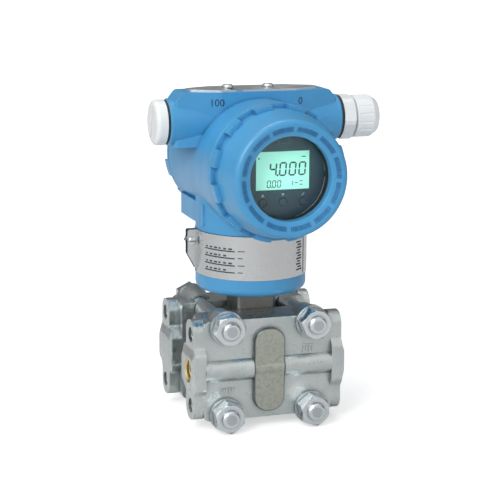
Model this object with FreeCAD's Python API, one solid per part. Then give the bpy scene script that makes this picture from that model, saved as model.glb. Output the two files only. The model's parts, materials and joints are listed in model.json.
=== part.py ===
import FreeCAD, Part
import math
import os

# Differential pressure transmitter: two process flanges bolted over a sensor capsule,
# and an electronics head that turns on the capsule's collar.
# Millimetres. X runs along the pressure ports, -Y is the display side, +Z is up.
# The origin lies on the neck's axis, level with the two pressure ports and midway between them.

V = FreeCAD.Vector
X = V(1, 0, 0)
Y = V(0, 1, 0)
Z = V(0, 0, 1)

# ---------------------------------------------------------------- fits and clearances
RUNNING = 0.08          # radial clearance of a turned fit
FREE = 0.3              # space between moving pieces that only pass each other
FACE_GAP = 0.4          # parting line between a screwed cover and the housing
BITE = 0.2              # how far shapes of one casting run into each other before they are joined
CLEAR = 1.0             # how far a cutting tool starts outside the face it cuts

# ---------------------------------------------------------------- process flanges
PORT_SPACING = 54.0     # between the two pressure ports
TAP_SPACING = 41.3      # between the tapped holes above and below a port
BOLT_SPACING = 50.8     # side of the square of flange bolts
FLANGE_LENGTH = 88.0
FLANGE_HEIGHT = 58.0
FLANGE_THICK = 22.5
CAPSULE_SPACE = 23.0    # between the inner faces of the flanges
CASTING_ROUND = 3.0     # usual corner radius of the flange casting
END_STEP = 6.0          # how far the plate between the shaped end blocks stops short of each end
END_BLOCK = 6.6         # length of the shaped block at each end of a flange
LOBE_DEPTH = 16.0       # of the tapped lobes, across the flange
LOBE_INNER = 14.0       # lowest part of a lobe on the capsule's side
LOBE_ROUND = 7.0        # radius of a lobe's outer corners
WAIST_EXTRA = 2.0       # how far the middle of the block reaches round the boss
END_BOSS = 1.7          # how far the port boss stands off the end
END_BOSS_HALF = 8.0     # half height of the boss's flat face
END_BOSS_FOOT = 1.0     # between the boss's foot and the capsule's side
END_BOSS_INSET = 3.0    # between the boss's flat face and the capsule's side
END_BOSS_LEAN = 1.5     # how much its foot spreads outwards
END_BOSS_SLOPE = 5.0    # how much its foot spreads above and below
BOLT_BOSS_R = 9.2
BOLT_BOSS_TIP_R = 7.4   # the bosses taper towards the capsule
BOLT_BOSS_LENGTH = 15.0
RIDGE_R = 7.5
RIDGE_SINK = 4.0        # axis of the ridge behind the outer face
PAD_WIDTH = 18.0
PAD_HEIGHT = 48.4
PAD_DROP = 0.8
PAD_STANDS = 3.0
PAD_CORNER_R = 8.0
PAD_EDGE_R = 0.9
PORT_R = 5.7            # core of the quarter-inch pipe thread
PORT_DEPTH = 16.0
TAP_R = 4.25            # core of the M10 adapter thread
TAP_DEPTH = 11.0
PORT_SINK = 1.2         # countersink of the port
PASSAGE_R = 2.5
CHAMBER_R = 22.0
CHAMBER_DEPTH = 1.5
SEAL_INNER = 24.5
SEAL_OUTER = 28.0
SEAL_GROOVE = 2.0

# ---------------------------------------------------------------- flange bolts
BOLT_R = 5.0
BOLT_CLEARANCE = 0.25
WASHER_R = 9.5
WASHER_THICK = 2.0
NUT_FLATS = 16.0
NUT_THICK = 8.4
NUT_BEVEL = 2.2         # how far the beveled end runs down the nut
NUT_CONE_REACH = 0.5    # how far outside the nut's corners the bevel's cone starts
BOLT_HEAD_THICK = 6.4
BOLT_PROUD = 2.4        # thread standing out of the nut
BOLT_END_BEVEL = 0.8
HEAD_TURN = 15.0        # of a bolt's head against its nut
NUT_TURNS = {(-1, 1): 12.0, (1, 1): 49.0, (-1, -1): 37.0, (1, -1): 39.0}

# ---------------------------------------------------------------- sensor capsule and collar
CAPSULE_R = 29.0
SEAT_GAP = 0.2          # between the capsule's faces and the flanges, taken up by the seals
DIAPHRAGM_R = 22.5
DIAPHRAGM_THICK = 0.3
DIAPHRAGM_SINK = 0.8
DIAPHRAGM_WAVES = 3
DIAPHRAGM_RISE = 0.24   # height of a corrugation
NECK_SIDE = 22.8
COLLAR_BOTTOM = 40.0
STEM_R = 9.0
STEM_LENGTH = 10.0
COLLAR_R = 32.0
COLLAR_ROUND = 4.0
BAND_BOTTOM = 50.0
BAND_TOP = 75.0
BAND_THICK = 0.6
BAND_SINK = 0.2         # of the band's inner face below the collar's radius
SWIVEL_PLANE = 60.0
SPIGOT_R = 27.0
SPIGOT_LENGTH = 12.0
SPIGOT_PLAY = 0.8       # above the spigot's end
COLLAR_CAVITY_R = 21.0
COLLAR_LEDGE = 3.0
COLLAR_MOUTH_R = 18.0   # below the ledge
BOARD_THICK = 1.6
BOARD_PLAY = 0.2
CHIP_HEIGHT = 2.2
HEADER_HEIGHT = 4.0
EAR_REACH = 6.0
EAR_GAP = 4.0
EAR_CENTRE_Y = 2.5
EAR_LENGTH = 14.0       # of the ear's straight outer edge
EAR_FOOT = 2.0          # start of its slope above the band's lower edge
EAR_BITE = 0.1          # how far the ear starts inside the band's wall
BAND_SCREW_R = 1.45
BAND_SCREW_PLAY = 0.15
BAND_SCREW_HEAD_R = 2.4
BAND_SCREW_HEAD = 1.6
BAND_SCREW_SHIFT = 0.6  # of the screw from the middle of the ear
BAND_SCREW_DROP = 6.5   # of the screw below the band's upper edge
BAND_SCREW_END = 2.6
BAND_SLOT = 0.7         # width and depth of the slot
BAND_NUT_FLATS = 5.0
BAND_NUT_THICK = 2.0
BAND_NUT_TURN = 10.0

# ---------------------------------------------------------------- electronics housing
HEAD_Z = 113.4          # axis of the two covers
BARREL_WALL = 3.5       # of the barrel round the threaded mouth
BARREL_WAIST = 1.2      # how far the barrel draws in at its middle
BARREL_HALF = 41.5
MOUTH_R = 34.5
THREAD_DEPTH = 13.5
FRONT_ROOM_STEP = 1.5   # rooms behind the threads are smaller than the mouth by these
REAR_ROOM_STEP = 3.5
EDGE_BEVEL = 0.6        # of the barrel's ends
PARTITION_FRONT = -12.6
PARTITION_REAR = -9.4
BLOCK_TOP = 154.5
BLOCK_HALF = 48.0
BLOCK_DEPTH = 13.6
BLOCK_FLAT = 22.0
BLOCK_END_DEPTH = 9.5
BLOCK_FLOOR = 124.0
BLOCK_DROP = 6.0        # of the block's ends below its top
BLOCK_SLOPE = 5.0       # length of the slope down to them
BLOCK_ROUND = 2.5       # of the block's upright corners
CONDUIT_Z = 137.2
CONDUIT_BOSS_R = 13.3
CONDUIT_WAIST_R = 12.4
CONDUIT_HALF = 50.8
CONDUIT_BEVEL = 0.8
CONDUIT_CORE_R = 9.25
CONDUIT_THREAD = 17.0
CONDUIT_PASSAGE_R = 7.5
CONDUIT_INNER = 12.0
LUG_INSET = 0.4         # of the foot's flat sides inside the collar's radius
LUG_FRONT = -9.0
LUG_STEP = 3.5          # between the foot's rear face and the barrel's end
LUG_BOTTOM = 78.4
LUG_TOP = 90.5
WIRE_HOLE_R = 4.0
WIRE_HOLE_Y = -20.0
EARTH_Y = 22.0
EARTH_R = 2.0
EARTH_LENGTH = 3.4
EARTH_WASHER_HALF = 4.2
EARTH_WASHER_THICK = 1.2
EARTH_HEAD_R = 3.6
EARTH_HEAD_TOP = 3.8
EARTH_HEAD_ROUND = 1.2
SLOT_HALF = 0.5         # half width of the slot in the earth and terminal screws
SLOT_FLOOR = 1.0        # depth of the earth screw's slot

# ---------------------------------------------------------------- screwed covers
SPIGOT_WALL = 4.0
COVER_SPIGOT = 12.0
RIM_BAND = 2.5
LUG_COUNT = 12
LUG_SHARE = 0.5         # part of each pitch that a rim lug fills
LUG_TURN = 15.0         # first lug's turn from the top
RIM_LUG_END = 8.6
RIM_LUG_RISE = 2.6      # of a lug above the bell's root
RIM_LUG_FOOT = 1.5      # of a lug inside the bell's wall
FRONT_COVER_DEPTH = 28.9
FRONT_TAPER = 2.9       # front face's radius below the mouth's
FRONT_FACE_ROUND = 3.0
WINDOW_SINK = 2.7
BEZEL_LIP = 4.5
GLASS_STEP = 8.5        # glass's radius below the mouth's
GLASS_OVERLAP = 3.1     # of the cover's lip over the glass
GLASS_THICK = 5.0
GLASS_EDGE_R = 0.4
GASKET_THICK = 0.6
GLASS_RING_GRIP = 2.4   # of the threaded ring over the glass
GLASS_RING_LENGTH = 2.6
NOTCH_WIDTH = 3.0
NOTCH_HALF_LENGTH = 2.0
NOTCH_SINK = 1.5
NOTCH_DEPTH = 2.5
REAR_COVER_DEPTH = 16.5
REAR_TAPER = 0.5        # rear face's radius below the mouth's
REAR_COVER_WALL = 4.0
O_RING_SECTION = 0.9
O_RING_GROOVE = 2.2

# ---------------------------------------------------------------- electronics and display
MODULE_PLAY = 4.0       # between the electronics and the wall of their room
MODULE_PROUD = 2.5      # of the electronics in front of the barrel
MODULE_FOOT_STEP = 4.0  # how much narrower the foot is
MODULE_FOOT = 6.0
MODULE_SHOULDER = 9.0
MODULE_ROUND = 1.5
BEZEL_INSET = 0.6       # of the bezel inside the electronics' radius
BEZEL_DEPTH = 10.0
BEZEL_WALL = 1.8
TAB_WIDTH = 7.4         # latch above the LCD
TAB_HEIGHT = 3.4
TAB_BELOW_EDGE = 11.2   # from the bezel's edge down to the latch
TAB_STANDS = 1.0
TAB_CORNER_R = 0.5
LCD_SIDE = 13.0         # from the bezel's radius to the LCD's sides
LCD_TOP = 17.8          # from the bezel's radius to half the LCD's height
LCD_RISE = 2.6          # centre of the LCD above the cover's axis
LCD_THICK = 2.6
LCD_BORDER = 1.2
LCD_SINK = 0.8
LCD_PLAY = 0.2
WINDOW_CORNER_R = 0.6
POST_R = 2.2            # pillars of the display board
POST_EDGE = 13.4        # from the bezel's radius to a pillar's row
KEY_R = 2.2
KEY_EDGE = 13.8         # from the bezel's lower edge up to the keys
KEY_PITCH = 11.5
KEY_TRAVEL = 0.8
KEY_PROUD = 0.6
KEY_FLANGE = 0.8        # keeps the key behind the bezel
KEY_PLAY = 0.2          # of the flange between the bezel and the board
TERMINAL_PLAY = 1.5     # between the terminal block and the wall of its room
TERMINAL_RISE = 6.6     # top of the block above the covers' axis
TERMINAL_DROP = 9.0     # screws below that axis
TERMINAL_DEPTH = 14.0
TERMINAL_PITCH = 14.0
TERMINAL_WELL_R = 5.4
TERMINAL_WELL = 5.0
TERMINAL_SCREW_R = 3.6
TERMINAL_SCREW_HEAD = 2.4
TERMINAL_CLAMP = 0.9    # how far the clamp plate reaches round the screw
TERMINAL_CLAMP_THICK = 0.8
TERMINAL_SLOT = 1.0     # depth of the slot
TERMINAL_CHANNEL = 2.5  # half width of a wire channel

# ---------------------------------------------------------------- top plate and its buttons
PLATE_THICK = 1.0
PLATE_INSET = 1.4
PLATE_HALF = 38.0
PLATE_END_DEPTH = 4.5
PLATE_SCREW_PITCH = 24.0
PLATE_SCREW_SHIFT = -2.5
PLATE_SCREW_R = 1.5
PLATE_SCREW_HEAD_R = 3.2
PLATE_SCREW_HEAD = 1.9
PLATE_SCREW_LENGTH = 6.0
PLATE_SCREW_END = 0.2   # left below the screw in its hole
PLATE_SCREW_LIFT = 0.1  # between the head and the plate
PLATE_SCREW_ROUND = 1.2
CROSS_HALF = 2.2        # reach of the cross slot
CROSS_WIDTH = 0.7
CROSS_DEPTH = 0.8
PLATE_HOLE_PLAY = 0.3
BUTTON_X = 26.5
BUTTON_R = 3.2
BUTTON_LENGTH = 3.6
BUTTON_TRAVEL = 1.2
BUTTON_SINK = 0.3
BUTTON_POCKET_PLAY = 0.5 # left under a pressed button
BUTTON_SLOT_HALF = 0.4
BUTTON_SLOT_DEPTH = 0.9

# ---------------------------------------------------------------- conduit plug and cable gland
CONDUIT_GASKET = 1.5
CONDUIT_GASKET_R = 12.5
STOPPER_HEAD_R = 12.8
STOPPER_HEAD = 6.3
STOPPER_STEM = 12.0
STOPPER_BEVEL = 1.0
STOPPER_ROUND = 2.5
STOPPER_SLOT_WIDTH = 2.0
STOPPER_SLOT_DEPTH = 2.2
STOPPER_SLOT_LENGTH = 18.4
STOPPER_SLOT_TURN = 20.0 # from upright
GLAND_FLATS = 24.0
GLAND_HEX = 7.0
GLAND_HEX_TURN = 10.0
GLAND_HEX_TRIM = 1.2    # how far the hexagon's corners reach past its flats
GLAND_HEX_ROUND = 0.8
GLAND_NECK_R = 10.0
GLAND_NECK = 10.5
GLAND_BORE_R = 7.0
GLAND_WALL = 1.2
GLAND_SEAT = 3.5        # of the seal above the hexagon
SEAL_NOSE = 2.0         # length of the seal's tapered end
SEAL_TAPER = 1.2
GLAND_NUT_R = 12.25
GLAND_NUT_START = 1.6
GLAND_NUT_LENGTH = 14.5
GLAND_MOUTH_R = 6.0
GLAND_NUT_FRONT = 2.6
GLAND_NUT_DOME = 4.5    # length of the nut's rounded end
GLAND_NUT_CROWN = 2.4   # how far the crown draws in
GLAND_NUT_TIP = 0.6
SEAL_GAP = 0.1          # between the seal and the nut's crown
CABLE_R = 4.5
RIB_COUNT = 16
RIB_R = 0.8             # of the grooves between the ribs
RIB_LIFT = 0.35         # of a groove's axis outside the nut
RIB_START = 1.2
RIB_END = 5.5

# ---------------------------------------------------------------- places worked out from the above
PORT_Y = PORT_SPACING / 2
INNER_Y = CAPSULE_SPACE / 2
OUTER_Y = INNER_Y + FLANGE_THICK
END_X = FLANGE_LENGTH / 2
PLATE_LENGTH = FLANGE_LENGTH - 2 * END_STEP
BOLT_AT = BOLT_SPACING / 2
HEAD = V(0, 0, HEAD_Z)
BARREL_R = MOUTH_R + BARREL_WALL
BARREL_WAIST_R = BARREL_R - BARREL_WAIST
FRONT_ROOM_R = MOUTH_R - FRONT_ROOM_STEP
REAR_ROOM_R = MOUTH_R - REAR_ROOM_STEP
RIM_ROOT_R = BARREL_R - RIM_LUG_RISE
FRONT_FACE_R = MOUTH_R - FRONT_TAPER
REAR_FACE_R = MOUTH_R - REAR_TAPER
GLASS_R = MOUTH_R - GLASS_STEP
WINDOW_R = GLASS_R - GLASS_OVERLAP
GLASS_RING_INNER = GLASS_R - GLASS_RING_GRIP
MODULE_R = FRONT_ROOM_R - MODULE_PLAY
MODULE_FRONT = -(BARREL_HALF + MODULE_PROUD)
BEZEL_R = MODULE_R - BEZEL_INSET
BEZEL_FACE_Y = MODULE_FRONT - BEZEL_DEPTH
TAB_RISE = BEZEL_R - TAB_BELOW_EDGE
LCD_WIDTH = 2 * (BEZEL_R - LCD_SIDE)
LCD_HEIGHT = 2 * (BEZEL_R - LCD_TOP)
KEY_DROP = BEZEL_R - KEY_EDGE
POST_AT = BEZEL_R - POST_EDGE
TERMINAL_R = REAR_ROOM_R - TERMINAL_PLAY
TERMINAL_TOP = HEAD_Z + TERMINAL_RISE
LUG_HALF = COLLAR_R - LUG_INSET
LUG_REAR = BARREL_HALF - LUG_STEP
BAND_INNER = COLLAR_R - BAND_SINK
BAND_SCREW_X = -(BAND_INNER + EAR_REACH / 2 + BAND_SCREW_SHIFT)
BAND_SCREW_Z = BAND_TOP - BAND_SCREW_DROP
NECK_SLEEVE_R = BAND_INNER - FREE
HOUSING_FOOT = SWIVEL_PLANE + SEAT_GAP
EARTH_Z = (LUG_BOTTOM + LUG_TOP) / 2
COVER_START = BARREL_HALF + FACE_GAP
COVER_SPIGOT_R = MOUTH_R - RUNNING
COVER_BORE_R = COVER_SPIGOT_R - SPIGOT_WALL
GLASS_FRONT = FRONT_COVER_DEPTH - WINDOW_SINK - BEZEL_LIP
GLASS_BACK = GLASS_FRONT - 2 * GASKET_THICK - GLASS_THICK
BUTTON_POCKET = BUTTON_SINK + BUTTON_LENGTH + BUTTON_TRAVEL + BUTTON_POCKET_PLAY
PLATE_PIVOT_X = PLATE_SCREW_SHIFT + PLATE_SCREW_PITCH / 2
PLATE_SLOT_X = PLATE_SCREW_SHIFT - PLATE_SCREW_PITCH / 2
GLAND_SEAT_X = CONDUIT_HALF + CONDUIT_GASKET
GLAND_NECK_X = GLAND_SEAT_X + GLAND_HEX
GLAND_NUT_X = GLAND_NECK_X + GLAND_NUT_START
GLAND_SEAL_R = GLAND_NECK_R - GLAND_WALL
GLAND_SEAL_BACK = GLAND_NECK_X + GLAND_SEAT
GLAND_SEAL_FRONT = GLAND_NUT_X + GLAND_NUT_LENGTH - GLAND_NUT_FRONT


# ================================================================ drawing helpers
def rod(radius, start, end):
    """Cylinder between two points."""
    line = end - start
    return Part.makeCylinder(radius, line.Length, start, line)


def box(low, high):
    """Box between its lowest and highest corners."""
    size = high - low
    return Part.makeBox(size.x, size.y, size.z, low)


def in_xz(y):
    return lambda p: V(p.x, y, p.y)


def in_yz(x):
    return lambda p: V(x, p.x, p.y)


def in_xy(z):
    return lambda p: V(p.x, p.y, z)


def outline(corners, place):
    """Face inside a polygon. A corner is (u, v) or (u, v, radius); place puts it in space."""
    stretches = []
    for i, corner in enumerate(corners):
        here = V(corner[0], corner[1], 0)
        radius = corner[2] if len(corner) > 2 else 0
        if radius <= 0:
            stretches.append((here, None, here))
            continue
        back = V(corners[i - 1][0], corners[i - 1][1], 0) - here
        ahead = corners[(i + 1) % len(corners)]
        ahead = V(ahead[0], ahead[1], 0) - here
        back.normalize()
        ahead.normalize()
        half = back.getAngle(ahead) / 2
        middle = back + ahead
        middle.normalize()
        reach = radius / math.tan(half)
        bulge = radius / math.sin(half) - radius
        stretches.append((here + back * reach, here + middle * bulge, here + ahead * reach))
    edges = []
    for i, (start, middle, end) in enumerate(stretches):
        if middle is not None:
            edges.append(Part.Arc(place(start), place(middle), place(end)).toShape())
        following = stretches[(i + 1) % len(stretches)][0]
        if (following - end).Length > 1e-6:
            edges.append(Part.LineSegment(place(end), place(following)).toShape())
    return Part.Face(Part.Wire(edges))


def turned(corners, base, axis):
    """Solid of revolution. A corner is (radius, distance along the axis[, corner radius])."""
    side = X if abs(axis.z) > 0.5 else Z
    face = outline(corners, lambda p: base + side * p.x + axis * p.y)
    return face.revolve(base, axis, 360)


def ring(outer, inner, base, axis, start, end):
    """Plain tube from start to end along the axis."""
    corners = [(inner, start), (outer, start), (outer, end), (inner, end)]
    return turned(corners, base, axis)


def rounded(width, low, high, radius, y):
    """Upright rectangle with round corners, centred across X, at the given Y."""
    w = width / 2
    return outline([(-w, low, radius), (w, low, radius), (w, high, radius), (-w, high, radius)], in_xz(y))


def hexagon(flats, turn, place):
    """Face of a hexagon of the given width across its flats."""
    reach = flats / math.sqrt(3)
    corners = []
    for i in range(6):
        angle = math.radians(turn + 60 * i)
        corners.append((reach * math.cos(angle), reach * math.sin(angle)))
    return outline(corners, place)


def joined(shapes):
    """All shapes fused into one solid."""
    whole = shapes[0]
    if len(shapes) > 1:
        whole = whole.multiFuse(shapes[1:])
    return whole.removeSplitter()


def less(shape, tools):
    """Shape with the tools cut away."""
    return shape.cut(Part.makeCompound(tools)) if tools else shape


def mirrored_pair(values):
    """Every combination of two signs."""
    return [(a, b) for a in values for b in values]


CORNERS = mirrored_pair((-1, 1))


# ================================================================ process flanges
def end_block(sign):
    """Shaped block at one end of the front flange: a wide middle and two narrow tapped lobes."""
    top = FLANGE_HEIGHT / 2
    far = -OUTER_Y
    near = far + LOBE_DEPTH
    middle = -PORT_Y - END_BOSS_HALF - WAIST_EXTRA
    r = CASTING_ROUND
    upper = [
        (-INNER_Y, END_BOSS_HALF, r), (near, LOBE_INNER, r), (near, top, LOBE_ROUND),
        (far, top, LOBE_ROUND), (far, LOBE_INNER, r), (middle, END_BOSS_HALF + WAIST_EXTRA, r),
    ]
    lower = [(c[0], -c[1], c[2]) for c in reversed(upper)]
    start = sign * (END_X - END_BLOCK)
    return outline(upper + lower, in_yz(start)).extrude(X * sign * END_BLOCK)


def port_boss(sign):
    """Raised face round the port at one end, sloping down to the lobes."""
    levels = []
    r = CASTING_ROUND
    far_face = -PORT_Y - END_BOSS_HALF
    for out, near, far, half in (
        (-BITE, -INNER_Y - END_BOSS_FOOT, far_face - END_BOSS_LEAN, END_BOSS_HALF + END_BOSS_SLOPE),
        (END_BOSS, -INNER_Y - END_BOSS_INSET, far_face, END_BOSS_HALF),
    ):
        corners = [(near, half, r), (far, half, r), (far, -half, r), (near, -half, r)]
        levels.append(outline(corners, in_yz(sign * (END_X + out))).OuterWire)
    return Part.makeLoft(levels, True, True)


def flange_body():
    """Front flange before its holes."""
    length = PLATE_LENGTH / 2
    height = FLANGE_HEIGHT / 2
    r = CASTING_ROUND
    corners = [(-length, -height, r), (length, -height, r), (length, height, r), (-length, height, r)]
    shapes = [outline(corners, in_xz(-OUTER_Y)).extrude(Y * FLANGE_THICK)]
    for sx, sz in CORNERS:
        at = V(sx * BOLT_AT, -OUTER_Y, sz * BOLT_AT)
        shapes.append(Part.makeCone(BOLT_BOSS_R, BOLT_BOSS_TIP_R, BOLT_BOSS_LENGTH, at, Y))
    ridge = V(END_X - END_BLOCK + BITE, RIDGE_SINK - OUTER_Y, 0)
    shapes.append(rod(RIDGE_R, V(-ridge.x, ridge.y, 0), ridge))
    for sign in (-1, 1):
        shapes.append(end_block(sign))
        shapes.append(port_boss(sign))
    return joined(shapes + [flange_pad()])


def flange_pad():
    """Rounded upright pad on the middle of the outer face."""
    low = -PAD_HEIGHT / 2 - PAD_DROP
    front = -OUTER_Y - PAD_STANDS
    face = rounded(PAD_WIDTH, low, low + PAD_HEIGHT, PAD_CORNER_R, front)
    pad = face.extrude(Y * (PAD_STANDS + CLEAR))
    rim = [edge for edge in pad.Edges if abs(edge.CenterOfMass.y - front) < 1e-6]
    return pad.makeFillet(PAD_EDGE_R, rim)


def port_cut():
    """Pipe thread, its countersink and the passage to the chamber, at the -X end."""
    mouth = -(END_X + END_BOSS)
    start = V(mouth, -PORT_Y, 0)
    bottom = start + X * PORT_DEPTH
    turn = V(-CHAMBER_R / 2, -PORT_Y, 0)
    return [
        rod(PORT_R, start, bottom),
        Part.makeCone(PORT_R + PORT_SINK, PORT_R, PORT_SINK, start, X),
        rod(PASSAGE_R, bottom, turn + X * PASSAGE_R),
        rod(PASSAGE_R, turn, V(turn.x, -INNER_Y, 0)),
    ]


def flange_holes():
    """Bolt holes, tapped adapter holes, chamber and seal groove."""
    tools = []
    for sx, sz in CORNERS:
        at = V(sx * BOLT_AT, -OUTER_Y - CLEAR, sz * BOLT_AT)
        tools.append(rod(BOLT_R + BOLT_CLEARANCE, at, at + Y * (FLANGE_THICK + 2 * CLEAR)))
        tap = V(sx * END_X, -PORT_Y, sz * TAP_SPACING / 2)
        tools.append(rod(TAP_R, tap, tap - X * sx * TAP_DEPTH))
    origin = V(0, -INNER_Y, 0)
    tools.append(rod(CHAMBER_R, origin, origin - Y * CHAMBER_DEPTH))
    tools.append(ring(SEAL_OUTER, SEAL_INNER, origin, Y, -SEAL_GROOVE, 0))
    return tools


def front_flange():
    return less(flange_body(), port_cut() + flange_holes())


def rear_flange():
    """The same casting turned half round, so its port opens at the other end."""
    shape = front_flange()
    shape.rotate(V(0, 0, 0), Z, 180)
    return shape


# ================================================================ flange bolts
def bolts():
    shapes = []
    front = -(OUTER_Y + WASHER_THICK + NUT_THICK + BOLT_PROUD)
    head = OUTER_Y + WASHER_THICK
    for sx, sz in CORNERS:
        at = V(sx * BOLT_AT, 0, sz * BOLT_AT)
        tip = front + BOLT_END_BEVEL
        shank = turned(
            [(0, front), (BOLT_R - BOLT_END_BEVEL, front), (BOLT_R, tip), (BOLT_R, head), (0, head)], at, Y
        )
        turn = HEAD_TURN + NUT_TURNS[(sx, sz)]
        face = hexagon(NUT_FLATS, turn, lambda p: V(at.x + p.x, head, at.z + p.y))
        shapes.append(joined([shank, face.extrude(Y * BOLT_HEAD_THICK)]))
    return shapes


def nuts():
    shapes = []
    back = -(OUTER_Y + WASHER_THICK)
    for sx, sz in CORNERS:
        at = V(sx * BOLT_AT, back, sz * BOLT_AT)
        face = hexagon(NUT_FLATS, NUT_TURNS[(sx, sz)], lambda p: at + V(p.x, 0, p.y))
        nut = face.extrude(Y * -NUT_THICK)
        reach = NUT_FLATS / math.sqrt(3) + NUT_CONE_REACH
        shoulder = NUT_THICK - NUT_BEVEL
        dome = turned(
            [(0, 0), (reach, 0), (reach, shoulder), (NUT_FLATS / 2, NUT_THICK), (0, NUT_THICK)],
            at, Y * -1,
        )
        bore = rod(BOLT_R, at + Y * CLEAR, at - Y * (NUT_THICK + CLEAR))
        shapes.append(less(nut.common(dome), [bore]))
    return shapes


def washers():
    shapes = []
    for sx, sz in CORNERS:
        for start in (-OUTER_Y - WASHER_THICK, OUTER_Y):
            at = V(sx * BOLT_AT, 0, sz * BOLT_AT)
            shapes.append(ring(WASHER_R, BOLT_R + BOLT_CLEARANCE, at, Y, start, start + WASHER_THICK))
    return shapes


# ================================================================ sensor capsule
def capsule():
    """Disc between the flanges, with a square neck and a stem that the collar is welded to."""
    half = INNER_Y - SEAT_GAP
    disc = turned([(0, -half), (CAPSULE_R, -half, 1), (CAPSULE_R, half, 1), (0, half)], V(0, 0, 0), Y)
    side = NECK_SIDE / 2
    corners = [(-side, -half, 2), (side, -half, 2), (side, half, 2), (-side, half, 2)]
    neck = outline(corners, in_xy(0)).extrude(Z * COLLAR_BOTTOM)
    stem = rod(STEM_R, V(0, 0, COLLAR_BOTTOM), V(0, 0, COLLAR_BOTTOM + STEM_LENGTH))
    recesses = []
    for sign in (-1, 1):
        face = V(0, sign * half, 0)
        recesses.append(rod(DIAPHRAGM_R, face, face - Y * sign * DIAPHRAGM_SINK))
    return less(joined([disc, neck, stem]), recesses)


def diaphragm(sign):
    """Thin disc with three round corrugations, lying in the capsule's recess."""
    back = INNER_Y - SEAT_GAP - DIAPHRAGM_SINK
    steps = 4 * DIAPHRAGM_WAVES
    low = []
    high = []
    for i in range(steps + 1):
        radius = DIAPHRAGM_R * i / steps
        lift = DIAPHRAGM_RISE / 2 * (1 - math.cos(2 * math.pi * DIAPHRAGM_WAVES * i / steps))
        low.append((radius, back + lift))
        high.append((radius, back + lift + DIAPHRAGM_THICK))
    return turned(low + high[::-1], V(0, 0, 0), Y * sign)


def flange_seal(sign):
    """Flat ring that fills the flange's groove and touches the capsule."""
    start = INNER_Y - SEAT_GAP
    return ring(SEAL_OUTER, SEAL_INNER, V(0, 0, 0), Y * sign, start, INNER_Y + SEAL_GROOVE)


def collar():
    """Round collar under the head, with the spigot that the head turns on."""
    bottom = COLLAR_BOTTOM
    top = SWIVEL_PLANE + SPIGOT_LENGTH
    floor = bottom + STEM_LENGTH
    ledge = floor + COLLAR_LEDGE
    body = turned(
        [
            (0, bottom), (COLLAR_R, bottom, COLLAR_ROUND), (COLLAR_R, BAND_BOTTOM), (BAND_INNER, BAND_BOTTOM),
            (BAND_INNER, SWIVEL_PLANE), (SPIGOT_R, SWIVEL_PLANE), (SPIGOT_R, top, 0.8), (0, top),
        ],
        V(0, 0, 0), Z,
    )
    return less(body, [
        rod(STEM_R + RUNNING, V(0, 0, bottom), V(0, 0, floor)),
        rod(COLLAR_MOUTH_R, V(0, 0, floor), V(0, 0, top)),
        rod(COLLAR_CAVITY_R, V(0, 0, ledge), V(0, 0, top)),
    ])


def sensor_board():
    """Round board on the ledge inside the collar, with its two chips."""
    base = COLLAR_BOTTOM + STEM_LENGTH + COLLAR_LEDGE
    board = rod(COLLAR_CAVITY_R - BOARD_PLAY, V(0, 0, base), V(0, 0, base + BOARD_THICK))
    top = base + BOARD_THICK
    chip = box(V(-8, -4, top - BITE), V(4, 8, top + CHIP_HEIGHT))
    header = box(V(-6, -14, top - BITE), V(6, -9, top + HEADER_HEIGHT))
    return joined([board, chip, header])


def ear(side_y, sign):
    """Folded end of the band, with its lower outer corner cut away."""
    reach = -(BAND_INNER + EAR_REACH)
    inner = -(BAND_INNER + EAR_BITE)
    foot = BAND_BOTTOM + EAR_FOOT
    corners = [
        (inner, foot), (inner, BAND_TOP), (reach, BAND_TOP, 1), (reach, BAND_TOP - EAR_LENGTH, 1),
        (inner - 1, foot),
    ]
    return outline(corners, in_xz(side_y)).extrude(Y * sign * BAND_THICK)


def label_band():
    """Clamp band round the neck, open between two ears on the -X side."""
    hoop = ring(BAND_INNER + BAND_THICK, BAND_INNER, V(0, 0, 0), Z, BAND_BOTTOM, BAND_TOP)
    low = EAR_CENTRE_Y - EAR_GAP / 2
    high = EAR_CENTRE_Y + EAR_GAP / 2
    far = -COLLAR_R - EAR_REACH
    slot = box(V(far, low, BAND_BOTTOM - CLEAR), V(far + COLLAR_R, high, BAND_TOP + CLEAR))
    band = joined([less(hoop, [slot]), ear(low, -1), ear(high, 1)])
    start = V(BAND_SCREW_X, low - BAND_THICK - CLEAR, BAND_SCREW_Z)
    end = V(BAND_SCREW_X, high + BAND_THICK + CLEAR, BAND_SCREW_Z)
    return less(band, [rod(BAND_SCREW_R + BAND_SCREW_PLAY, start, end)])


def band_screw():
    """Small screw and nut that draw the band's ears together."""
    x = BAND_SCREW_X
    z = BAND_SCREW_Z
    low = EAR_CENTRE_Y - EAR_GAP / 2 - BAND_THICK
    high = EAR_CENTRE_Y + EAR_GAP / 2 + BAND_THICK
    r = BAND_SCREW_HEAD_R
    face = -BAND_SCREW_HEAD
    head = turned([(0, face), (r, face, 0.8), (r, 0), (0, 0)], V(x, low, z), Y)
    shank = rod(BAND_SCREW_R, V(x, low, z), V(x, high + BAND_SCREW_END, z))
    flats = hexagon(BAND_NUT_FLATS, BAND_NUT_TURN, lambda p: V(x + p.x, high, z + p.y))
    nut = flats.extrude(Y * BAND_NUT_THICK)
    half = BAND_SLOT / 2
    floor = low - BAND_SCREW_HEAD + BAND_SLOT
    slot = box(V(x - r - CLEAR, floor - BAND_SLOT - CLEAR, z - half), V(x + r + CLEAR, floor, z + half))
    return less(joined([head, shank, nut]), [slot])


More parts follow.
